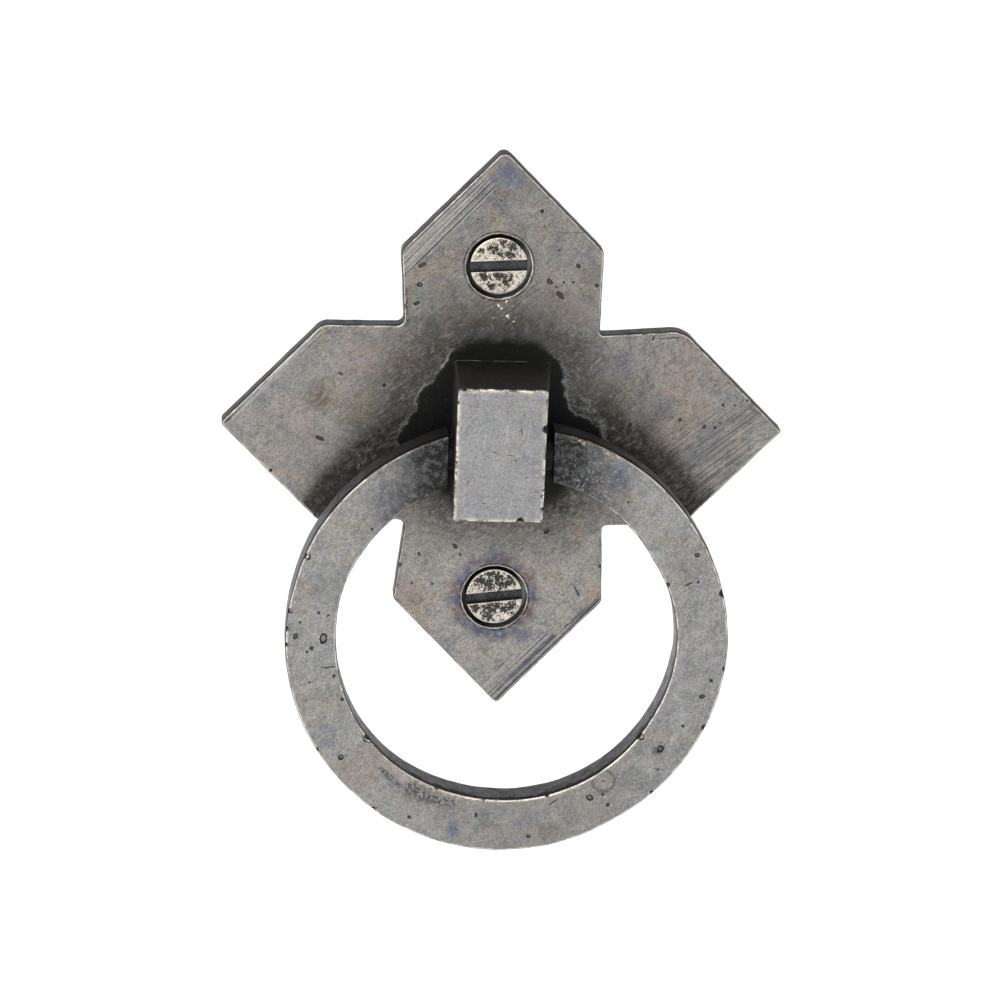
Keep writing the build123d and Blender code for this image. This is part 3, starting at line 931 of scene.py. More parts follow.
# Pits on the front and nicks in its rim, given like the plate's
POST_PITS = [
    (-4.2, -0.2, 0.16), (2.6, -0.7, 0.18), (1.2, -0.6, 0.16, 1.3, 0), (1.0, -7.0, 0.13), (2.2, 5.8, 0.15),
    (-5.1, -3.7, 0.09, 5, 60), (1.9, 3.3, 0.09, 9, -80), (-1.6, 0.5, 0.07, 10, -15), (0.6, 0.1, 0.07, 12, -6),
    (-2.9, -6.6, 0.09, 4, 5), (-3.1, 2.4, 0.07, 6, 70), (3.9, -4.9, 0.06, 8, 40),
]
POST_NICKS = [
    (5.25, 3.8, 0.7), (2.1, -9.2, 0.75), (-6.95, 0.5, 0.25), (-6.9, -0.9, 0.3), (-6.8, 7.4, 0.3),
    (-5.2, -9.35, 0.28), (-1.4, -9.45, 0.25), (0.5, -9.45, 0.28), (-2.9, -9.4, 0.2), (5.0, -7.4, 0.3),
    (-5.9, 9.25, 0.35), (1.6, 9.3, 0.24), (2.4, 9.3, 0.22), (-6.95, -4.4, 0.22), (5.1, -2.0, 0.2),
    (4.9, -5.6, 0.22),
]


def post_section(point):
    """Moves a point of a straight block to where the post's taper, lean and turn put it."""
    share = (point.y - PLATE_FRONT) / (POST_FRONT_FACE - PLATE_FRONT)
    x = point.x * (1 + share * (POST_TAPER - 1))
    c, s = math.cos(POST_TURN), math.sin(POST_TURN)
    return Vector((x * c + point.z * s + share * POST_LEAN, point.y, point.z * c - x * s))


def lying(x):
    """Lays a standing rod across, on the line of the cross hole, with its middle at x."""
    return Matrix.Translation((x, HOLE_DEPTH, HOLE_UP)) @ Matrix.Rotation(math.pi / 2, 4, "Y")


def join_in(bm, other):
    """Adds another bmesh to the first."""
    spare = bpy.data.meshes.new("spare")
    other.to_mesh(spare)
    other.free()
    bm.from_mesh(spare)
    bpy.data.meshes.remove(spare)


def shape_post():
    corners = [(x * POST_HALF_WIDTH, z * POST_HALF_HEIGHT) for x, z in ((-1, -1), (1, -1), (1, 1), (-1, 1))]
    bm = block(corners, PLATE_FRONT, POST_FRONT_FACE)
    soften(bm, [e for e in bm.edges if abs(e.verts[0].co.y - e.verts[1].co.y) > 1], POST_SOFTENING)
    soften(bm, edges_where(bm, lambda end: end.y < POST_FRONT_FACE + 0.01), POST_RIM_SOFTENING)
    cross_hole = bmesh.new()
    bmesh.ops.create_cone(
        cross_hole, cap_ends=True, segments=48, radius1=HOLE_RADIUS, radius2=HOLE_RADIUS, depth=20,
        matrix=lying(0),
    )
    bm = cut_out(bm, [cross_hole])
    rule_squares(bm, lambda f: True, (-6.4, 6.4), (-9.0, 9.0), POST_PITCH)
    rule_off(bm, list(bm.faces), DEPTH, spaced(POST_FRONT_FACE + 0.5, -3.2, POST_DEPTH_PITCH))
    refine(bm, POST_PITS, POST_NICKS, POST_FRONT_FACE)
    straight = [v.co.copy() for v in bm.verts]
    for v in bm.verts:
        v.co = post_section(v.co)
    bm.normal_update()
    leaning = [v.co.copy() for v in bm.verts]
    for v in bm.verts:
        if v.co.y > PLATE_FRONT - 0.1:
            continue
        x, y, z = v.co
        near = nick_share(v.co, POST_NICKS, POST_FRONT_FACE)
        inwards = min(6.0 - abs(x - POST_LEAN), POST_HALF_HEIGHT - abs(z), 3.0)
        from_rim = max(y - POST_FRONT_FACE, inwards, 0.0)
        chip = max(0.0, noise.noise(v.co / 0.55) - 0.05) * math.exp(-from_rim / 0.3)
        wave = 0.035 * noise.noise(v.co / 3.5) + 0.004 * noise.noise(v.co / 0.6)
        v.co -= v.normal * (wave + 0.25 * chip)
        v.co += Vector((-0.42 - x, 0, -z)).normalized() * 0.4 * near
        if y < POST_FRONT_FACE + 0.35:
            v.co.y += 0.03 + 0.9 * dent(x, z, POST_PITS)[1] + 0.5 * near
    rivet = turned(RIVET, 0, 0, 72)
    rule_squares(rivet, lambda f: f.normal.y > 0.9, (-4.4, 4.4), (-4.4, 4.4), RIVET_PITCH)
    for v in rivet.verts:
        if v.co.y > -0.5:
            v.co.y -= 0.13 * abs(hump(v.co.x, v.co.z, 1.6, 3.0))
    straight += [v.co.copy() for v in rivet.verts]
    leaning += [v.co.copy() for v in rivet.verts]
    join_in(bm, rivet)
    gaps = [
        sorted((POST_HALF_WIDTH - abs(v.x), POST_HALF_HEIGHT - abs(v.z), v.y - POST_FRONT_FACE))
        for v in straight
    ]
    keep(bm, "rim", [max(gap[1], 0) for gap in gaps])
    keep(bm, "wall", [v.y - POST_FRONT_FACE for v in straight])
    keep(bm, "foot", [max(PLATE_FRONT - v.y, 0) for v in straight])
    keep(bm, "pit", [dent(v.x, v.z, POST_PITS)[0] if v.y < POST_FRONT_FACE + 0.6 else -1 for v in leaning])
    keep(bm, "nick", [nick_share(v, POST_NICKS, POST_FRONT_FACE) for v in leaning])
    return settle(bm, "post", "plate")


post = shape_post()


def post_material():
    material, tree, shader, place = new_material("post_patina")
    steep = turned_place(tree, place, 82)
    slanting = turned_place(tree, place, 58)
    level = turned_place(tree, place, 3)
    skin = use(tree, patina, {
        "Vector": place, "Light": (0.248, 0.247, 0.245), "Dark": (0.166, 0.166, 0.168),
        "Warm": (1.0, 0.94, 0.88), "Cool": (0.88, 0.93, 1.0), "Speck": (0.40, 0.385, 0.35),
        "Strokes": less(tree, line_at(tree, level, 6200.0, 1300.0), 0.5), "Specks": 0.5, "Clouds": 0.35,
    })
    wall = read(tree, "wall")
    rim = read(tree, "rim")
    worn = times(tree, bare_edge(tree, place, rim, 0.32, 0.5), rise(tree, wall, 0.22, 0.14))
    dark_rim = times(
        tree, rise(tree, rim, 0.42, 0.25), rise(tree, rim, 0.05, 0.15),
        spots(tree, place, (900, 4, 0.7), 0.5, 0.42, 0, 0.7),
    )
    colour = coats(
        tree, skin["Color"],
        (scratched(tree, steep, 5200.0, 180.0, 0.3, 0.4), (0.38, 0.37, 0.35)),
        (scratched(tree, slanting, 4300.0, 260.0, 0.3, 0.5), (0.12, 0.12, 0.122)),
        (times(tree, bare_edge(tree, place, rim, 0.6, 1.5), 0.6), (0.42, 0.40, 0.33)),
        (worn, EDGE_METAL),
        (dark_rim, SOOT),
    )
    colour = pitted(tree, place, colour)
    colour = sided(tree, place, colour, wall, skin, 0.2, BLACK, (0.022, 0.021, 0.019), 0.02)
    side_worn = times(tree, bare_edge(tree, place, rim, 0.2, 0.3), rise(tree, wall, 0.3, 0.5, 0, 0.55))
    joint = bare_edge(tree, place, read(tree, "foot"), 0.3, 0.3)
    colour = coats(tree, colour, (side_worn, (0.20, 0.19, 0.175)), (joint, (0.27, 0.25, 0.21)))
    metal = rise(tree, wall, 0.2, 0.5, 0.88, 0.4)
    rough = smoothness(tree, skin, 0.58, 0.48, worn, 0.12)
    finish_surface(tree, shader, colour, metal, rough, skin["Height"], 0.3)
    return material


post.data.materials.append(post_material())


# Ring. A flat bar bent to a ring, left open at the top, with its ends cut square beside the post. Each end is
# turned down to a round peg that goes into the post's cross hole. Long handling has polished its front and
# its edges.
RING_ACROSS = 1.0
RING_UP = -27.532
RING_OUTSIDE = 30.15
RING_INSIDE = 23.15
RING_FRONT = -12.65
RING_BACK = -7.75
POST_MIDDLE = -0.425
END_REACH = 7.125
PEG_RADIUS = 2.1
PEG_ROOT = 1.0
PEG_LENGTH = 4.85
BAR_SOFTENING = 0.42
BAR_STEPS = 620
# How often the bar's front is cut along its length, and its other sides
FRONT_CUTS = 32
SIDE_CUTS = 12
# A round mark that a drop left on the front: across, up, radius
DROP_MARK = (14.9, -47.8, 1.5)
# Pits on the front and nicks in its edges, given like the plate's
RING_PITS = [
    (-23.9, -27.3, 0.55, 1.5, 80), (-25.5, -28.7, 0.32), (-26.1, -29.2, 0.2), (-27.7, -27.0, 0.37, 1.2, 60),
    (-27.1, -25.0, 0.2), (-24.5, -23.6, 0.24), (-23.2, -24.0, 0.2), (-22.4, -32.7, 0.27), (-25.7, -33.6, 0.2),
    (-21.2, -36.0, 0.27), (-21.2, -44.4, 0.42), (-17.5, -11.8, 0.22), (-11.6, -53.0, 0.27),
    (26.7, -15.1, 0.36), (26.9, -19.0, 0.22), (29.0, -33.1, 0.27), (27.9, -35.4, 0.32, 1.4, 10),
    (25.5, -39.7, 0.24), (22.6, -43.1, 0.45, 1.2, 60), (22.3, -46.0, 0.2), (13.1, -50.2, 0.44, 1.3, -30),
    (15.6, -51.2, 0.29), (14.9, -49.7, 0.22), (4.8, -55.7, 0.32, 1.2, 0), (-2.5, -52.8, 0.22, 1.6, 80),
    (14.9, -47.8, 0.17), (-23.0, -31.4, 0.13, 9, 5), (25.6, -19.3, 0.15, 6, 25), (8.1, -50.9, 0.15, 6, 35),
    (17.0, -7.6, 0.22),
]
RING_NICKS = [
    (-26.3, -15.6, 0.6), (-28.6, -23.4, 0.45), (-28.95, -25.9, 0.4), (-29.1, -28.2, 0.4), (30.4, -20.6, 0.75),
    (30.9, -31.4, 0.45), (28.3, -39.9, 0.45), (-17.6, -41.6, 0.7), (22.8, -19.4, 0.45), (18.7, -13.0, 0.4),
    (19.8, -41.3, 0.6), (7.2, -49.9, 0.35), (-21.4, -32.2, 0.35), (-1.5, -50.6, 0.3), (-8.0, -48.9, 0.4),
    (-16.5, -51.9, 0.45), (21.5, -49.4, 0.4), (-24.4, -43.3, 0.4),
]
# How far the hand-bent bar strays from a true circle: degrees round from the right, inside, outside
RING_STRAYS = [
    (-180, -0.07, -0.13), (-165, -0.08, -0.1), (-150, 0.0, -0.08), (-135, 0.04, -0.03), (-120, -0.08, 0.15),
    (-105, -0.2, 0.34), (-90, -0.16, 0.4), (-75, -0.07, 0.33), (-60, -0.04, 0.12), (-45, -0.08, 0.2),
    (-30, -0.13, 0.18), (-15, 0.0, 0.22), (0, 0.1, 0.14), (15, -0.09, 0.0), (30, -0.4, -0.2),
    (50, -0.2, -0.1), (70, 0.0, 0.0), (110, 0.0, 0.0), (140, 0.1, 0.0), (150, 0.19, 0.0), (165, 0.2, -0.22),
    (180, -0.07, -0.13),
]
SILT = (0.075, 0.075, 0.078)
OCHRE = (0.150, 0.128, 0.100)
RING_STAINS = [
    (-5.5, -54.8, 1.1, 0.9, BLUE), (-2.4, -54.6, 0.8, 0.7, VIOLET), (3.5, -54.1, 1.0, 0.6, VIOLET),
    (2.4, -52.6, 0.8, 0.5, VIOLET), (7.1, -54.6, 1.7, 0.75, BROWN), (8.6, -54.4, 1.1, 0.6, BROWN),
    (-11.0, -49.4, 1.5, 0.5, SILT), (-9.4, -50.2, 1.4, 0.5, SILT), (16.0, -4.2, 2.4, 0.55, BLUE),
    (-15.5, -8.5, 2.2, 0.5, VIOLET), (26.0, -17.0, 2.4, 0.35, VIOLET), (18.5, -48.0, 2.6, 0.35, SILT),
    (-22.0, -20.0, 2.6, 0.35, SILT), (2.0, -54.0, 9.0, 0.4, OCHRE), (13.0, -51.0, 6.0, 0.34, OCHRE),
    (-15.0, -47.0, 5.0, 0.18, PINK), (22.5, -43.1, 0.9, 0.6, SILT), (-1.0, -53.2, 2.6, 0.5, SILT),
    (4.6, -53.0, 2.2, 0.45, SILT), (10.4, -52.6, 2.6, 0.4, SILT), (-7.0, -52.6, 2.0, 0.35, SILT),
    (17.2, -49.6, 2.0, 0.4, OCHRE),
]
# Where gold shows through and where something ate into the front: each stroke's two ends, width
RING_STROKES = {
    "gilt": [
        (9.2, 1.1, 12.0, 0.3, 0.42), (12.0, 0.3, 15.4, -1.4, 0.42), (-14.0, -45.4, -12.2, -46.9, 0.3),
        (-12.2, -46.9, -7.8, -49.4, 0.38), (-7.8, -49.4, -3.1, -50.7, 0.36), (-3.1, -50.7, 3.2, -51.0, 0.26),
        (7.0, -50.3, 11.5, -48.6, 0.22),
    ],
    "eaten": [
        (-11.6, -48.9, -9.6, -50.1, 1.1), (-9.6, -50.1, -6.0, -51.1, 0.8), (22.0, -43.4, 22.6, -42.6, 0.6),
        (-15.6, -46.2, -13.0, -48.6, 0.4),
    ],
}


def shape_ring():
    bm = bmesh.new()
    inside = RING_ACROSS + RING_INSIDE
    outside = RING_ACROSS + RING_OUTSIDE
    corners = [(inside, RING_FRONT), (outside, RING_FRONT), (outside, RING_BACK), (inside, RING_BACK)]
    section = bm.faces.new([bm.verts.new((x, y, RING_UP)) for x, y in corners])
    bmesh.ops.bevel(
        bm, geom=list(section.verts), offset=BAR_SOFTENING, segments=4, profile=0.5, affect="VERTICES",
        material=-1,
    )
    for edge in [e for e in bm.edges if e.calc_length() > 3]:
        middle = (edge.verts[0].co + edge.verts[1].co) / 2
        cuts = FRONT_CUTS if middle.y < RING_FRONT + 0.1 else SIDE_CUTS
        bmesh.ops.subdivide_edges(bm, edges=[edge], cuts=cuts)
    bmesh.ops.delete(bm, geom=list(bm.faces), context="FACES_ONLY")
    bmesh.ops.spin(
        bm, geom=list(bm.verts) + list(bm.edges), cent=(RING_ACROSS, 0, RING_UP), axis=DEPTH,
        angle=math.tau, steps=BAR_STEPS, use_merge=True,
    )
    for side in (-1, 1):
        top = [f for f in bm.faces if f.calc_center_median().z > RING_UP + 15]
        around = {v for f in top for v in f.verts} | {e for f in top for e in f.edges} | set(top)
        end = Vector((POST_MIDDLE + side * END_REACH, 0, 0))
        bmesh.ops.bisect_plane(bm, geom=list(around), dist=0.0001, plane_co=end, plane_no=ACROSS)
    gone = [
        f for f in bm.faces
        if f.calc_center_median().z > RING_UP and abs(f.calc_center_median().x - POST_MIDDLE) < END_REACH
    ]
    bmesh.ops.delete(bm, geom=gone, context="FACES")
    caps = bmesh.ops.holes_fill(bm, edges=[e for e in bm.edges if e.is_boundary], sides=0)["faces"]
    bmesh.ops.recalc_face_normals(bm, faces=bm.faces)
    bmesh.ops.inset_region(bm, faces=caps, thickness=0.25, depth=0.0, use_even_offset=True)
    for v in {v for f in caps for v in f.verts}:
        v.co.x += 0.12 if v.co.x < POST_MIDDLE else -0.12
    for side in (-1, 1):
        start = POST_MIDDLE + side * (END_REACH + PEG_ROOT)
        length = PEG_ROOT + PEG_LENGTH
        peg = bmesh.ops.create_cone(
            bm, cap_ends=True, segments=48, radius1=PEG_RADIUS, radius2=PEG_RADIUS, depth=length,
            matrix=lying(start - side * length / 2),
        )
        tip = [
            e for e in {e for v in peg["verts"] for e in v.link_edges}
            if all(abs(v.co.x - (start - side * length)) < 0.01 for v in e.verts)
        ]
        soften(bm, tip, 0.4, 2)
    refine(bm, RING_PITS, RING_NICKS, RING_FRONT)
    bm.normal_update()
    age_ring(bm)
    return settle(bm, "drop_ring", "ring")


def age_ring(bm):
    """Notes for the material where everything on the ring lies, then bends and wears the ring's form."""
    across, depth, up = places_of(bm)
    ring_far = np.hypot(across - RING_ACROSS, up - RING_UP)
    bar_gap = np.minimum(ring_far - RING_INSIDE, RING_OUTSIDE - ring_far)
    end_gap = np.where(up > RING_UP, np.abs(across - POST_MIDDLE) - END_REACH, 99)
    keep(bm, "rim", np.maximum(bar_gap, 0))
    keep(bm, "wall", np.maximum(depth - RING_FRONT, 0))
    keep(bm, "behind", np.clip((depth - RING_BACK + 0.4) / 0.35, 0, 1))
    keep(bm, "post_side", np.maximum(end_gap, 0))
    mark_across, mark_up, mark_radius = DROP_MARK
    from_mark = np.abs(np.hypot(across - mark_across, up - mark_up) - mark_radius)
    keep(bm, "ghost", np.minimum(from_mark, 2))
    for name, strokes in RING_STROKES.items():
        keep(bm, name, band(across, up, strokes))
    keep_stains(bm, across, up, RING_STAINS)
    turns = np.degrees(np.arctan2(up - RING_UP, across - RING_ACROSS))
    angles, inside, outside = zip(*RING_STRAYS)
    share = np.clip((ring_far - RING_INSIDE) / (RING_OUTSIDE - RING_INSIDE), 0, 1)
    strays = np.interp(turns, angles, inside) * (1 - share) + np.interp(turns, angles, outside) * share
    pit_layer = bm.verts.layers.float.new("pit")
    nick_layer = bm.verts.layers.float.new("nick")
    centre = Vector((RING_ACROSS, 0, RING_UP))
    for v, stray, end in zip(bm.verts, strays, end_gap):
        x, y, z = v.co
        v[pit_layer] = -1.0
        if end < -0.2:
            continue
        out = (Vector((x, 0, z)) - centre).normalized()
        bend = 0.05 * noise.noise(out * 7 + Vector((0, y / 4, 0)))
        dents = 0.03 * noise.noise(v.co / 1.6) + 0.01 * noise.noise(v.co / 0.45)
        v.co -= v.normal * (0.02 + bend + dents)
        near = nick_share(Vector((x, y, z)), RING_NICKS, RING_FRONT)
        v[nick_layer] = near
        inwards = 1 if (Vector((x, 0, z)) - centre).length > (RING_INSIDE + RING_OUTSIDE) / 2 else -1
        v.co += out * (stray - inwards * 0.45 * near)
        if y < RING_FRONT + 0.4:
            v[pit_layer], deep = dent(x, z, RING_PITS)
            v.co.y += deep + 0.45 * near


drop_ring = shape_ring()


def ring_material():
    material, tree, shader, place = new_material("ring_patina")
    level = turned_place(tree, place, 12)
    steep = turned_place(tree, place, 66)
    skin = use(tree, patina, {
        "Vector": place, "Light": (0.255, 0.250, 0.243), "Dark": (0.137, 0.136, 0.134),
        "Warm": (1.0, 0.92, 0.83), "Cool": (0.85, 0.91, 1.0), "Speck": (0.42, 0.40, 0.36),
        "Strokes": less(tree, line_at(tree, steep, 5200.0, 1000.0), 0.5), "Specks": 0.7, "Clouds": 0.42,
    })
    # Tarnish is left on the ends beside the post, with pale flecks in it, most of them on the right
    far = scaled(tree, sway_at(tree, place, 330, 6, 0.7), 9.0, read(tree, "post_side"))
    blotches = cloud_at(tree, place, 1100, 5, 0.75)
    tarnish = blend(tree, rise(tree, blotches, 0.46, 0.60), BLACK, (0.054, 0.055, 0.058))
    right_side = rise(tree, parts_of(tree, place)["X"], 0.0, 0.004, 0.35, 1)
    flecks = times(
        tree, spots(tree, place, (2100, 5, 0.8, 0.6), 0.57, 0.62, 0, 0.85), rise(tree, far, 16.0, 9.0),
        times(tree, rise(tree, far, 0.5, 3.5), right_side),
    )
    eaten = times(tree, read(tree, "eaten"), spots(tree, place, (2600, 3, 0.6), 0.48, 0.53, 0, 0.92))
    ghost = rise(tree, read(tree, "ghost"), 0.34, 0.1)
    ghost = times(tree, ghost, rise(tree, blotches, 0.40, 0.58, 0.35, 0.8))
    colour = coats(
        tree, stained(tree, place, skin["Color"], 0.5),
        (scratched(tree, level, 5600.0, 180.0, 0.3, 0.32), (0.36, 0.345, 0.32)),
        (rise(tree, far, 13.0, 2.0, 0, 0.96), tarnish),
        (flecks, (0.26, 0.28, 0.31)),
        (eaten, (0.050, 0.049, 0.048)),
        (ghost, (0.066, 0.063, 0.058)),
    )
    colour = pitted(tree, place, colour)
    wall = read(tree, "wall")
    near = rise(tree, far, 16.0, 4.0, 0, 0.85)
    dark = blend(tree, near, (0.100, 0.099, 0.102), SOOT)
    light = blend(tree, near, (0.235, 0.234, 0.240), SOOT)
    colour = sided(tree, place, colour, wall, skin, 0.14, dark, light, 1.3)
    colour = backed(tree, place, colour, times(tree, read(tree, "behind"), 0.8))
    gilt = times(
        tree, read(tree, "gilt"), spots(tree, place, (1600, 5, 0.75), 0.50, 0.56, 0, 0.85),
        rise(tree, wall, 0.3, 0.2),
    )
    worn = times(
        tree, bare_edge(tree, place, read(tree, "rim"), 0.3, 0.45), rise(tree, wall, 0.18, 0.1),
        rise(tree, far, 1.0, 13.0, 0.12, 1),
    )
    colour = coats(tree, colour, (gilt, (0.36, 0.31, 0.225)), (worn, EDGE_METAL))
    metal = rise(tree, skin["Tone"], 0.3, 0.6, 0.75, 0.92)
    rough = smoothness(tree, skin, 0.58, 0.46, worn, 0.14)
    finish_surface(tree, shader, colour, metal, rough, skin["Height"], 0.32)
    return material


drop_ring.data.materials.append(ring_material())


# Screws. Slotted bronze wood screws with flat heads sunk in the plate's counterbores. Screwdrivers and cloths
# have rubbed the heads pale and left black patina in specks and in the slot. The threads bite into the door.
HEAD_RADIUS = 3.9
HEAD_FACE = -2.85
SLOT_WIDTH = 1.52
SLOT_FLOOR = HEAD_FACE + 1.0
SLOT_TURNS = {"upper_screw": 2.7, "lower_screw": 6.2}
# Where the black patina is thickest on each head: across and up from its middle, radius
HEAD_SMUTS = {
    "upper_screw": [
        (-0.7, 2.3, 0.8), (0.6, 3.2, 0.6), (1.7, 2.6, 0.7), (1.5, 1.5, 0.8), (0.2, 1.7, 0.6),
        (-2.4, 2.1, 0.5), (-2.0, -1.4, 0.9), (0.0, -1.4, 0.9), (0.9, -2.2, 0.9), (-0.9, -2.8, 0.6),
        (1.6, -1.5, 0.6),
    ],
    "lower_screw": [
        (-0.5, 3.2, 0.9), (-2.0, 2.3, 0.9), (-0.8, 1.8, 1.0), (0.4, 2.8, 0.9), (1.1, 1.8, 0.9),
        (2.2, 2.2, 0.8), (-2.6, -1.6, 0.7), (-0.7, -1.8, 1.0), (-0.8, -2.8, 0.8), (0.4, -1.3, 0.7),
        (2.2, -1.4, 0.8), (1.3, -1.8, 0.6),
    ],
}
# How strong the cloud must be for black patina to lie on each head
BLACK_LEVELS = {"upper_screw": 0.545, "lower_screw": 0.53}
HEAD_PITCH = 0.18
SHANK_RADIUS = 2.1
SHANK_END = 8.0
CORE_RADIUS = 1.45
CORE_START = 9.2
POINT_START = 20.3
POINT = 24.3
THREAD_START = 8.6
THREAD_PITCH = 1.7
THREAD_RADIUS = 2.1
THREAD_ROOT = 1.3
THREAD_TURNS = 9
STEPS_PER_TURN = 28


def shape_thread():
    """A screw thread about the depth axis: one tooth carried round and down, narrower at both ends."""
    bm = bmesh.new()
    half = THREAD_PITCH * 0.36
    corners = [(THREAD_ROOT, -half), (THREAD_RADIUS, -0.06), (THREAD_RADIUS, 0.06), (THREAD_ROOT, half)]
    tooth = bm.faces.new([bm.verts.new((radius, THREAD_START + along, 0)) for radius, along in corners])
    bmesh.ops.spin(
        bm, geom=[tooth, *tooth.edges, *tooth.verts], cent=(0, 0, 0), axis=DEPTH,
        dvec=(0, THREAD_PITCH / STEPS_PER_TURN, 0), angle=math.tau * THREAD_TURNS,
        steps=STEPS_PER_TURN * THREAD_TURNS,
    )
    bmesh.ops.recalc_face_normals(bm, faces=bm.faces)
    for v in bm.verts:
        taper = min(1.0, max(0.12, (POINT + 0.4 - v.co.y) / (POINT + 0.4 - POINT_START)))
        grow = min(1.0, 0.62 + 0.38 * (v.co.y - THREAD_START) / THREAD_PITCH) if v.co.y < 10.5 else 1.0
        narrow = min(taper, max(grow, 0.62))
        v.co.x *= narrow
        v.co.z *= narrow
    return bm


def on_head(face):
    """Whether a face belongs to the head's front or its slot."""
    depth = face.calc_center_median().y
    return depth < -2.0 or (depth < -1.7 and abs(face.normal.y) > 0.9)


def shape_screw(name):
    x, z = SCREW_PLACES[name]
    profile = [
        (0, HEAD_FACE), (HEAD_RADIUS - 0.16, HEAD_FACE), (HEAD_RADIUS - 0.04, HEAD_FACE + 0.05),
        (HEAD_RADIUS, HEAD_FACE + 0.18), (HEAD_RADIUS, BORE_FLOOR - 0.02), (SHANK_RADIUS, BORE_FLOOR),
        (SHANK_RADIUS, SHANK_END), (CORE_RADIUS, CORE_START), (CORE_RADIUS, POINT_START),
        (0.25, POINT - 0.1), (0, POINT),
    ]
    turn = math.radians(SLOT_TURNS[name])
    slot = bmesh.new()
    bmesh.ops.create_cube(slot, size=1.0)
    bmesh.ops.scale(slot, verts=slot.verts, vec=(9, 2.0, SLOT_WIDTH))
    bmesh.ops.rotate(slot, verts=slot.verts, cent=(0, 0, 0), matrix=Matrix.Rotation(-turn, 3, "Y"))
    bmesh.ops.translate(slot, verts=slot.verts, vec=(x, SLOT_FLOOR - 1.0, z))
    bm = cut_out(turned(profile, x, z, 96), [slot])
    rule_squares(bm, on_head, (x - 3.7, x + 3.7), (z - 3.7, z + 3.7), HEAD_PITCH)
    for v in bm.verts:
        if v.co.y < HEAD_FACE + 0.3:
            v.co.y += 0.03 + 0.03 * hump(v.co.x, v.co.z, 1.1, 2.0)
    across, depth, up = places_of(bm)
    from_slot = np.abs((up - z) * math.cos(turn) - (across - x) * math.sin(turn)) - SLOT_WIDTH / 2
    from_side = HEAD_RADIUS - np.hypot(across - x, up - z)
    keep(bm, "rim", np.maximum(np.minimum(from_side, from_slot + 0.08), 0))
    keep(bm, "sunk", np.maximum(depth - HEAD_FACE - 0.06, 0))
    smuts = [
        np.clip(1.25 - np.hypot(across - x - dx, up - z - dz) / size, 0, 1)
        for dx, dz, size in HEAD_SMUTS[name]
    ]
    keep(bm, "smut", np.maximum.reduce(smuts))
    thread = shape_thread()
    bmesh.ops.translate(thread, verts=thread.verts, vec=(x, 0, z))
    join_in(bm, thread)
    keep(bm, "behind", [min(1.0, max(0.0, v.co.y + 0.6)) for v in bm.verts])
    return settle(bm, name, "plate", sharp=32)


def screw_material(name, black_level):
    material, tree, shader, place = new_material(name)
    skin = use(tree, patina, {
        "Vector": place, "Light": (0.55, 0.51, 0.45), "Dark": (0.30, 0.275, 0.235),
        "Warm": (1.0, 0.93, 0.84), "Cool": (0.92, 0.95, 1.0), "Speck": (0.68, 0.64, 0.56), "Specks": 0.6,
    })
    lumps = times(tree, cloud_at(tree, place, 2100, 2, 0.6, 0.3), 0.45)
    crumbs = scaled(tree, cloud_at(tree, place, 5200, 2, 0.6, 0.5), 0.55, lumps)
    patches = rise(tree, scaled(tree, read(tree, "smut"), 0.15, crumbs), black_level, black_level + 0.02)
    ash = spots(tree, place, (4000, 3, 0.7), 0.45, 0.62)
    soot = blend(tree, ash, (0.010, 0.0098, 0.0094), (0.040, 0.038, 0.035))
    worn = times(tree, bare_edge(tree, place, read(tree, "rim"), 0.18, 0.25), 0.9)
    slot_tone = blend(tree, rise(tree, skin["Tone"], 0.42, 0.6), (0.02, 0.02, 0.022), (0.075, 0.077, 0.083))
    thread_tone = blend(tree, rise(tree, skin["Tone"], 0.4, 0.6), (0.20, 0.175, 0.135), (0.32, 0.285, 0.22))
    colour = coats(
        tree, skin["Color"],
        (times(tree, patches, 0.96), soot),
        (worn, (0.55, 0.51, 0.44)),
        (rise(tree, read(tree, "sunk"), 0.12, 0.3), slot_tone),
        (read(tree, "behind"), thread_tone),
    )
    metal = less(tree, 0.95, times(tree, patches, 0.1))
    rough = rise(tree, patches, 0, 1, 0.4, 0.6)
    finish_surface(tree, shader, colour, metal, rough, less(tree, skin["Height"], patches), 0.3)
    return material


for screw_name, black_level in BLACK_LEVELS.items():
    screw = shape_screw(screw_name)
    screw.data.materials.append(screw_material(screw_name + "_metal", black_level))


# Studio. A plain pale floor well below the pull, soft light from the front and a little from each side, and a
# long lens from the photograph's place: a little above the pull and to its left.
FLOOR_UP = -0.16
FLOOR_HALF = 60.0
# Where the lights are turned to, and where the camera looks
LIT_PLACE = Vector((0, 0, -0.01))
AIM = Vector((0.54, 0, -11.4)) * MM
CAMERA_TURN = math.radians(-4.35)
CAMERA_RISE = math.radians(17.02)
CAMERA_ROLL = math.radians(1.63)
CAMERA_DISTANCE = 0.6001
FOCAL_PIXELS = 4369.8
PHOTO_SIDE = 1000


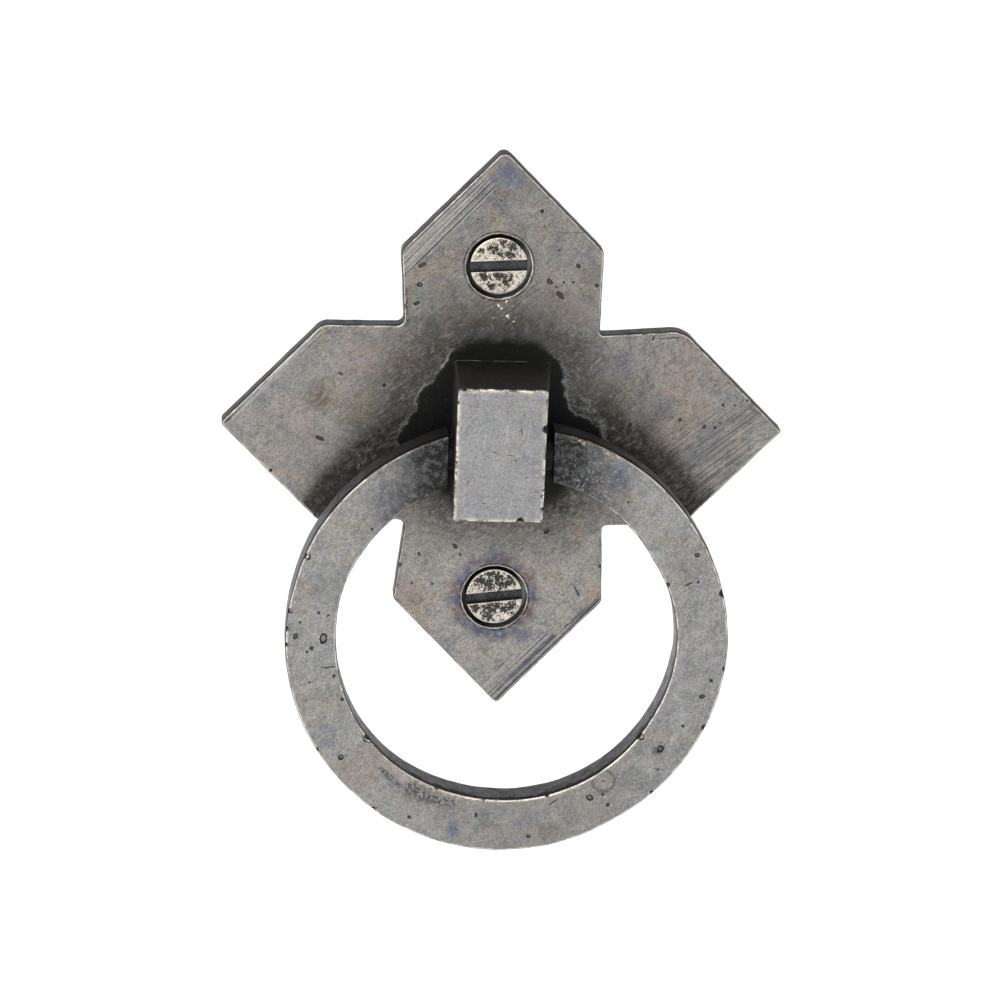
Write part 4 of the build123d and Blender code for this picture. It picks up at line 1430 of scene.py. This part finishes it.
def stage_floor():
    bm = bmesh.new()
    bmesh.ops.create_grid(bm, x_segments=1, y_segments=1, size=FLOOR_HALF)
    bmesh.ops.translate(bm, verts=bm.verts, vec=(0, 2.0, FLOOR_UP))
    floor = as_object(bm, "floor")
    material = bpy.data.materials.new("pale_floor")
    material.use_nodes = True
    tree = material.node_tree
    feed(tree, tree.nodes["Principled BSDF"], {
        "Base Color": (0.92, 0.92, 0.92), "Roughness": 0.9,
        "Emission Color": (1, 1, 1), "Emission Strength": 0.6,
    })
    floor.data.materials.append(material)


def softbox(name, place, size, power):
    """A soft light at a place, turned towards the pull."""
    lamp = bpy.data.lights.new(name, "AREA")
    lamp.shape = "RECTANGLE"
    lamp.size, lamp.size_y = size
    lamp.energy = power
    light = bpy.data.objects.new(name, lamp)
    light.location = place
    light.rotation_euler = (LIT_PLACE - Vector(place)).to_track_quat("-Z", "Y").to_euler()
    bpy.context.scene.collection.objects.link(light)


stage_floor()
softbox("front_light", (-0.25, -1.1, 0.45), (1.1, 0.9), 11)
softbox("left_light", (-1.0, -0.5, 0.25), (0.6, 0.8), 3)
softbox("right_light", (1.0, -0.6, 0.2), (0.6, 0.8), 3)
world = bpy.data.worlds.new("studio")
world.use_nodes = True
sky = world.node_tree
seen = add(sky, "ShaderNodeLightPath", out="Is Camera Ray")
feed(sky, sky.nodes["Background"], {"Color": (1, 1, 1), "Strength": scaled(sky, seen, 0.55, 0.45)})
bpy.context.scene.world = world
bpy.context.scene.view_settings.view_transform = "Standard"

back = Vector((
    math.sin(CAMERA_TURN) * math.cos(CAMERA_RISE),
    -math.cos(CAMERA_TURN) * math.cos(CAMERA_RISE),
    math.sin(CAMERA_RISE),
))
level_right = Vector((math.cos(CAMERA_TURN), math.sin(CAMERA_TURN), 0))
level_up = back.cross(level_right)
right = math.cos(CAMERA_ROLL) * level_right + math.sin(CAMERA_ROLL) * level_up
upward = -math.sin(CAMERA_ROLL) * level_right + math.cos(CAMERA_ROLL) * level_up
lens = bpy.data.cameras.new("camera")
lens.sensor_width = 36
lens.lens = FOCAL_PIXELS * lens.sensor_width / PHOTO_SIDE
lens.clip_start = 0.05
camera = bpy.data.objects.new("camera", lens)
bpy.context.scene.collection.objects.link(camera)
facing = Matrix((right, upward, back)).transposed().to_4x4()
camera.matrix_world = Matrix.Translation(AIM + back * CAMERA_DISTANCE) @ facing
bpy.context.scene.camera = camera
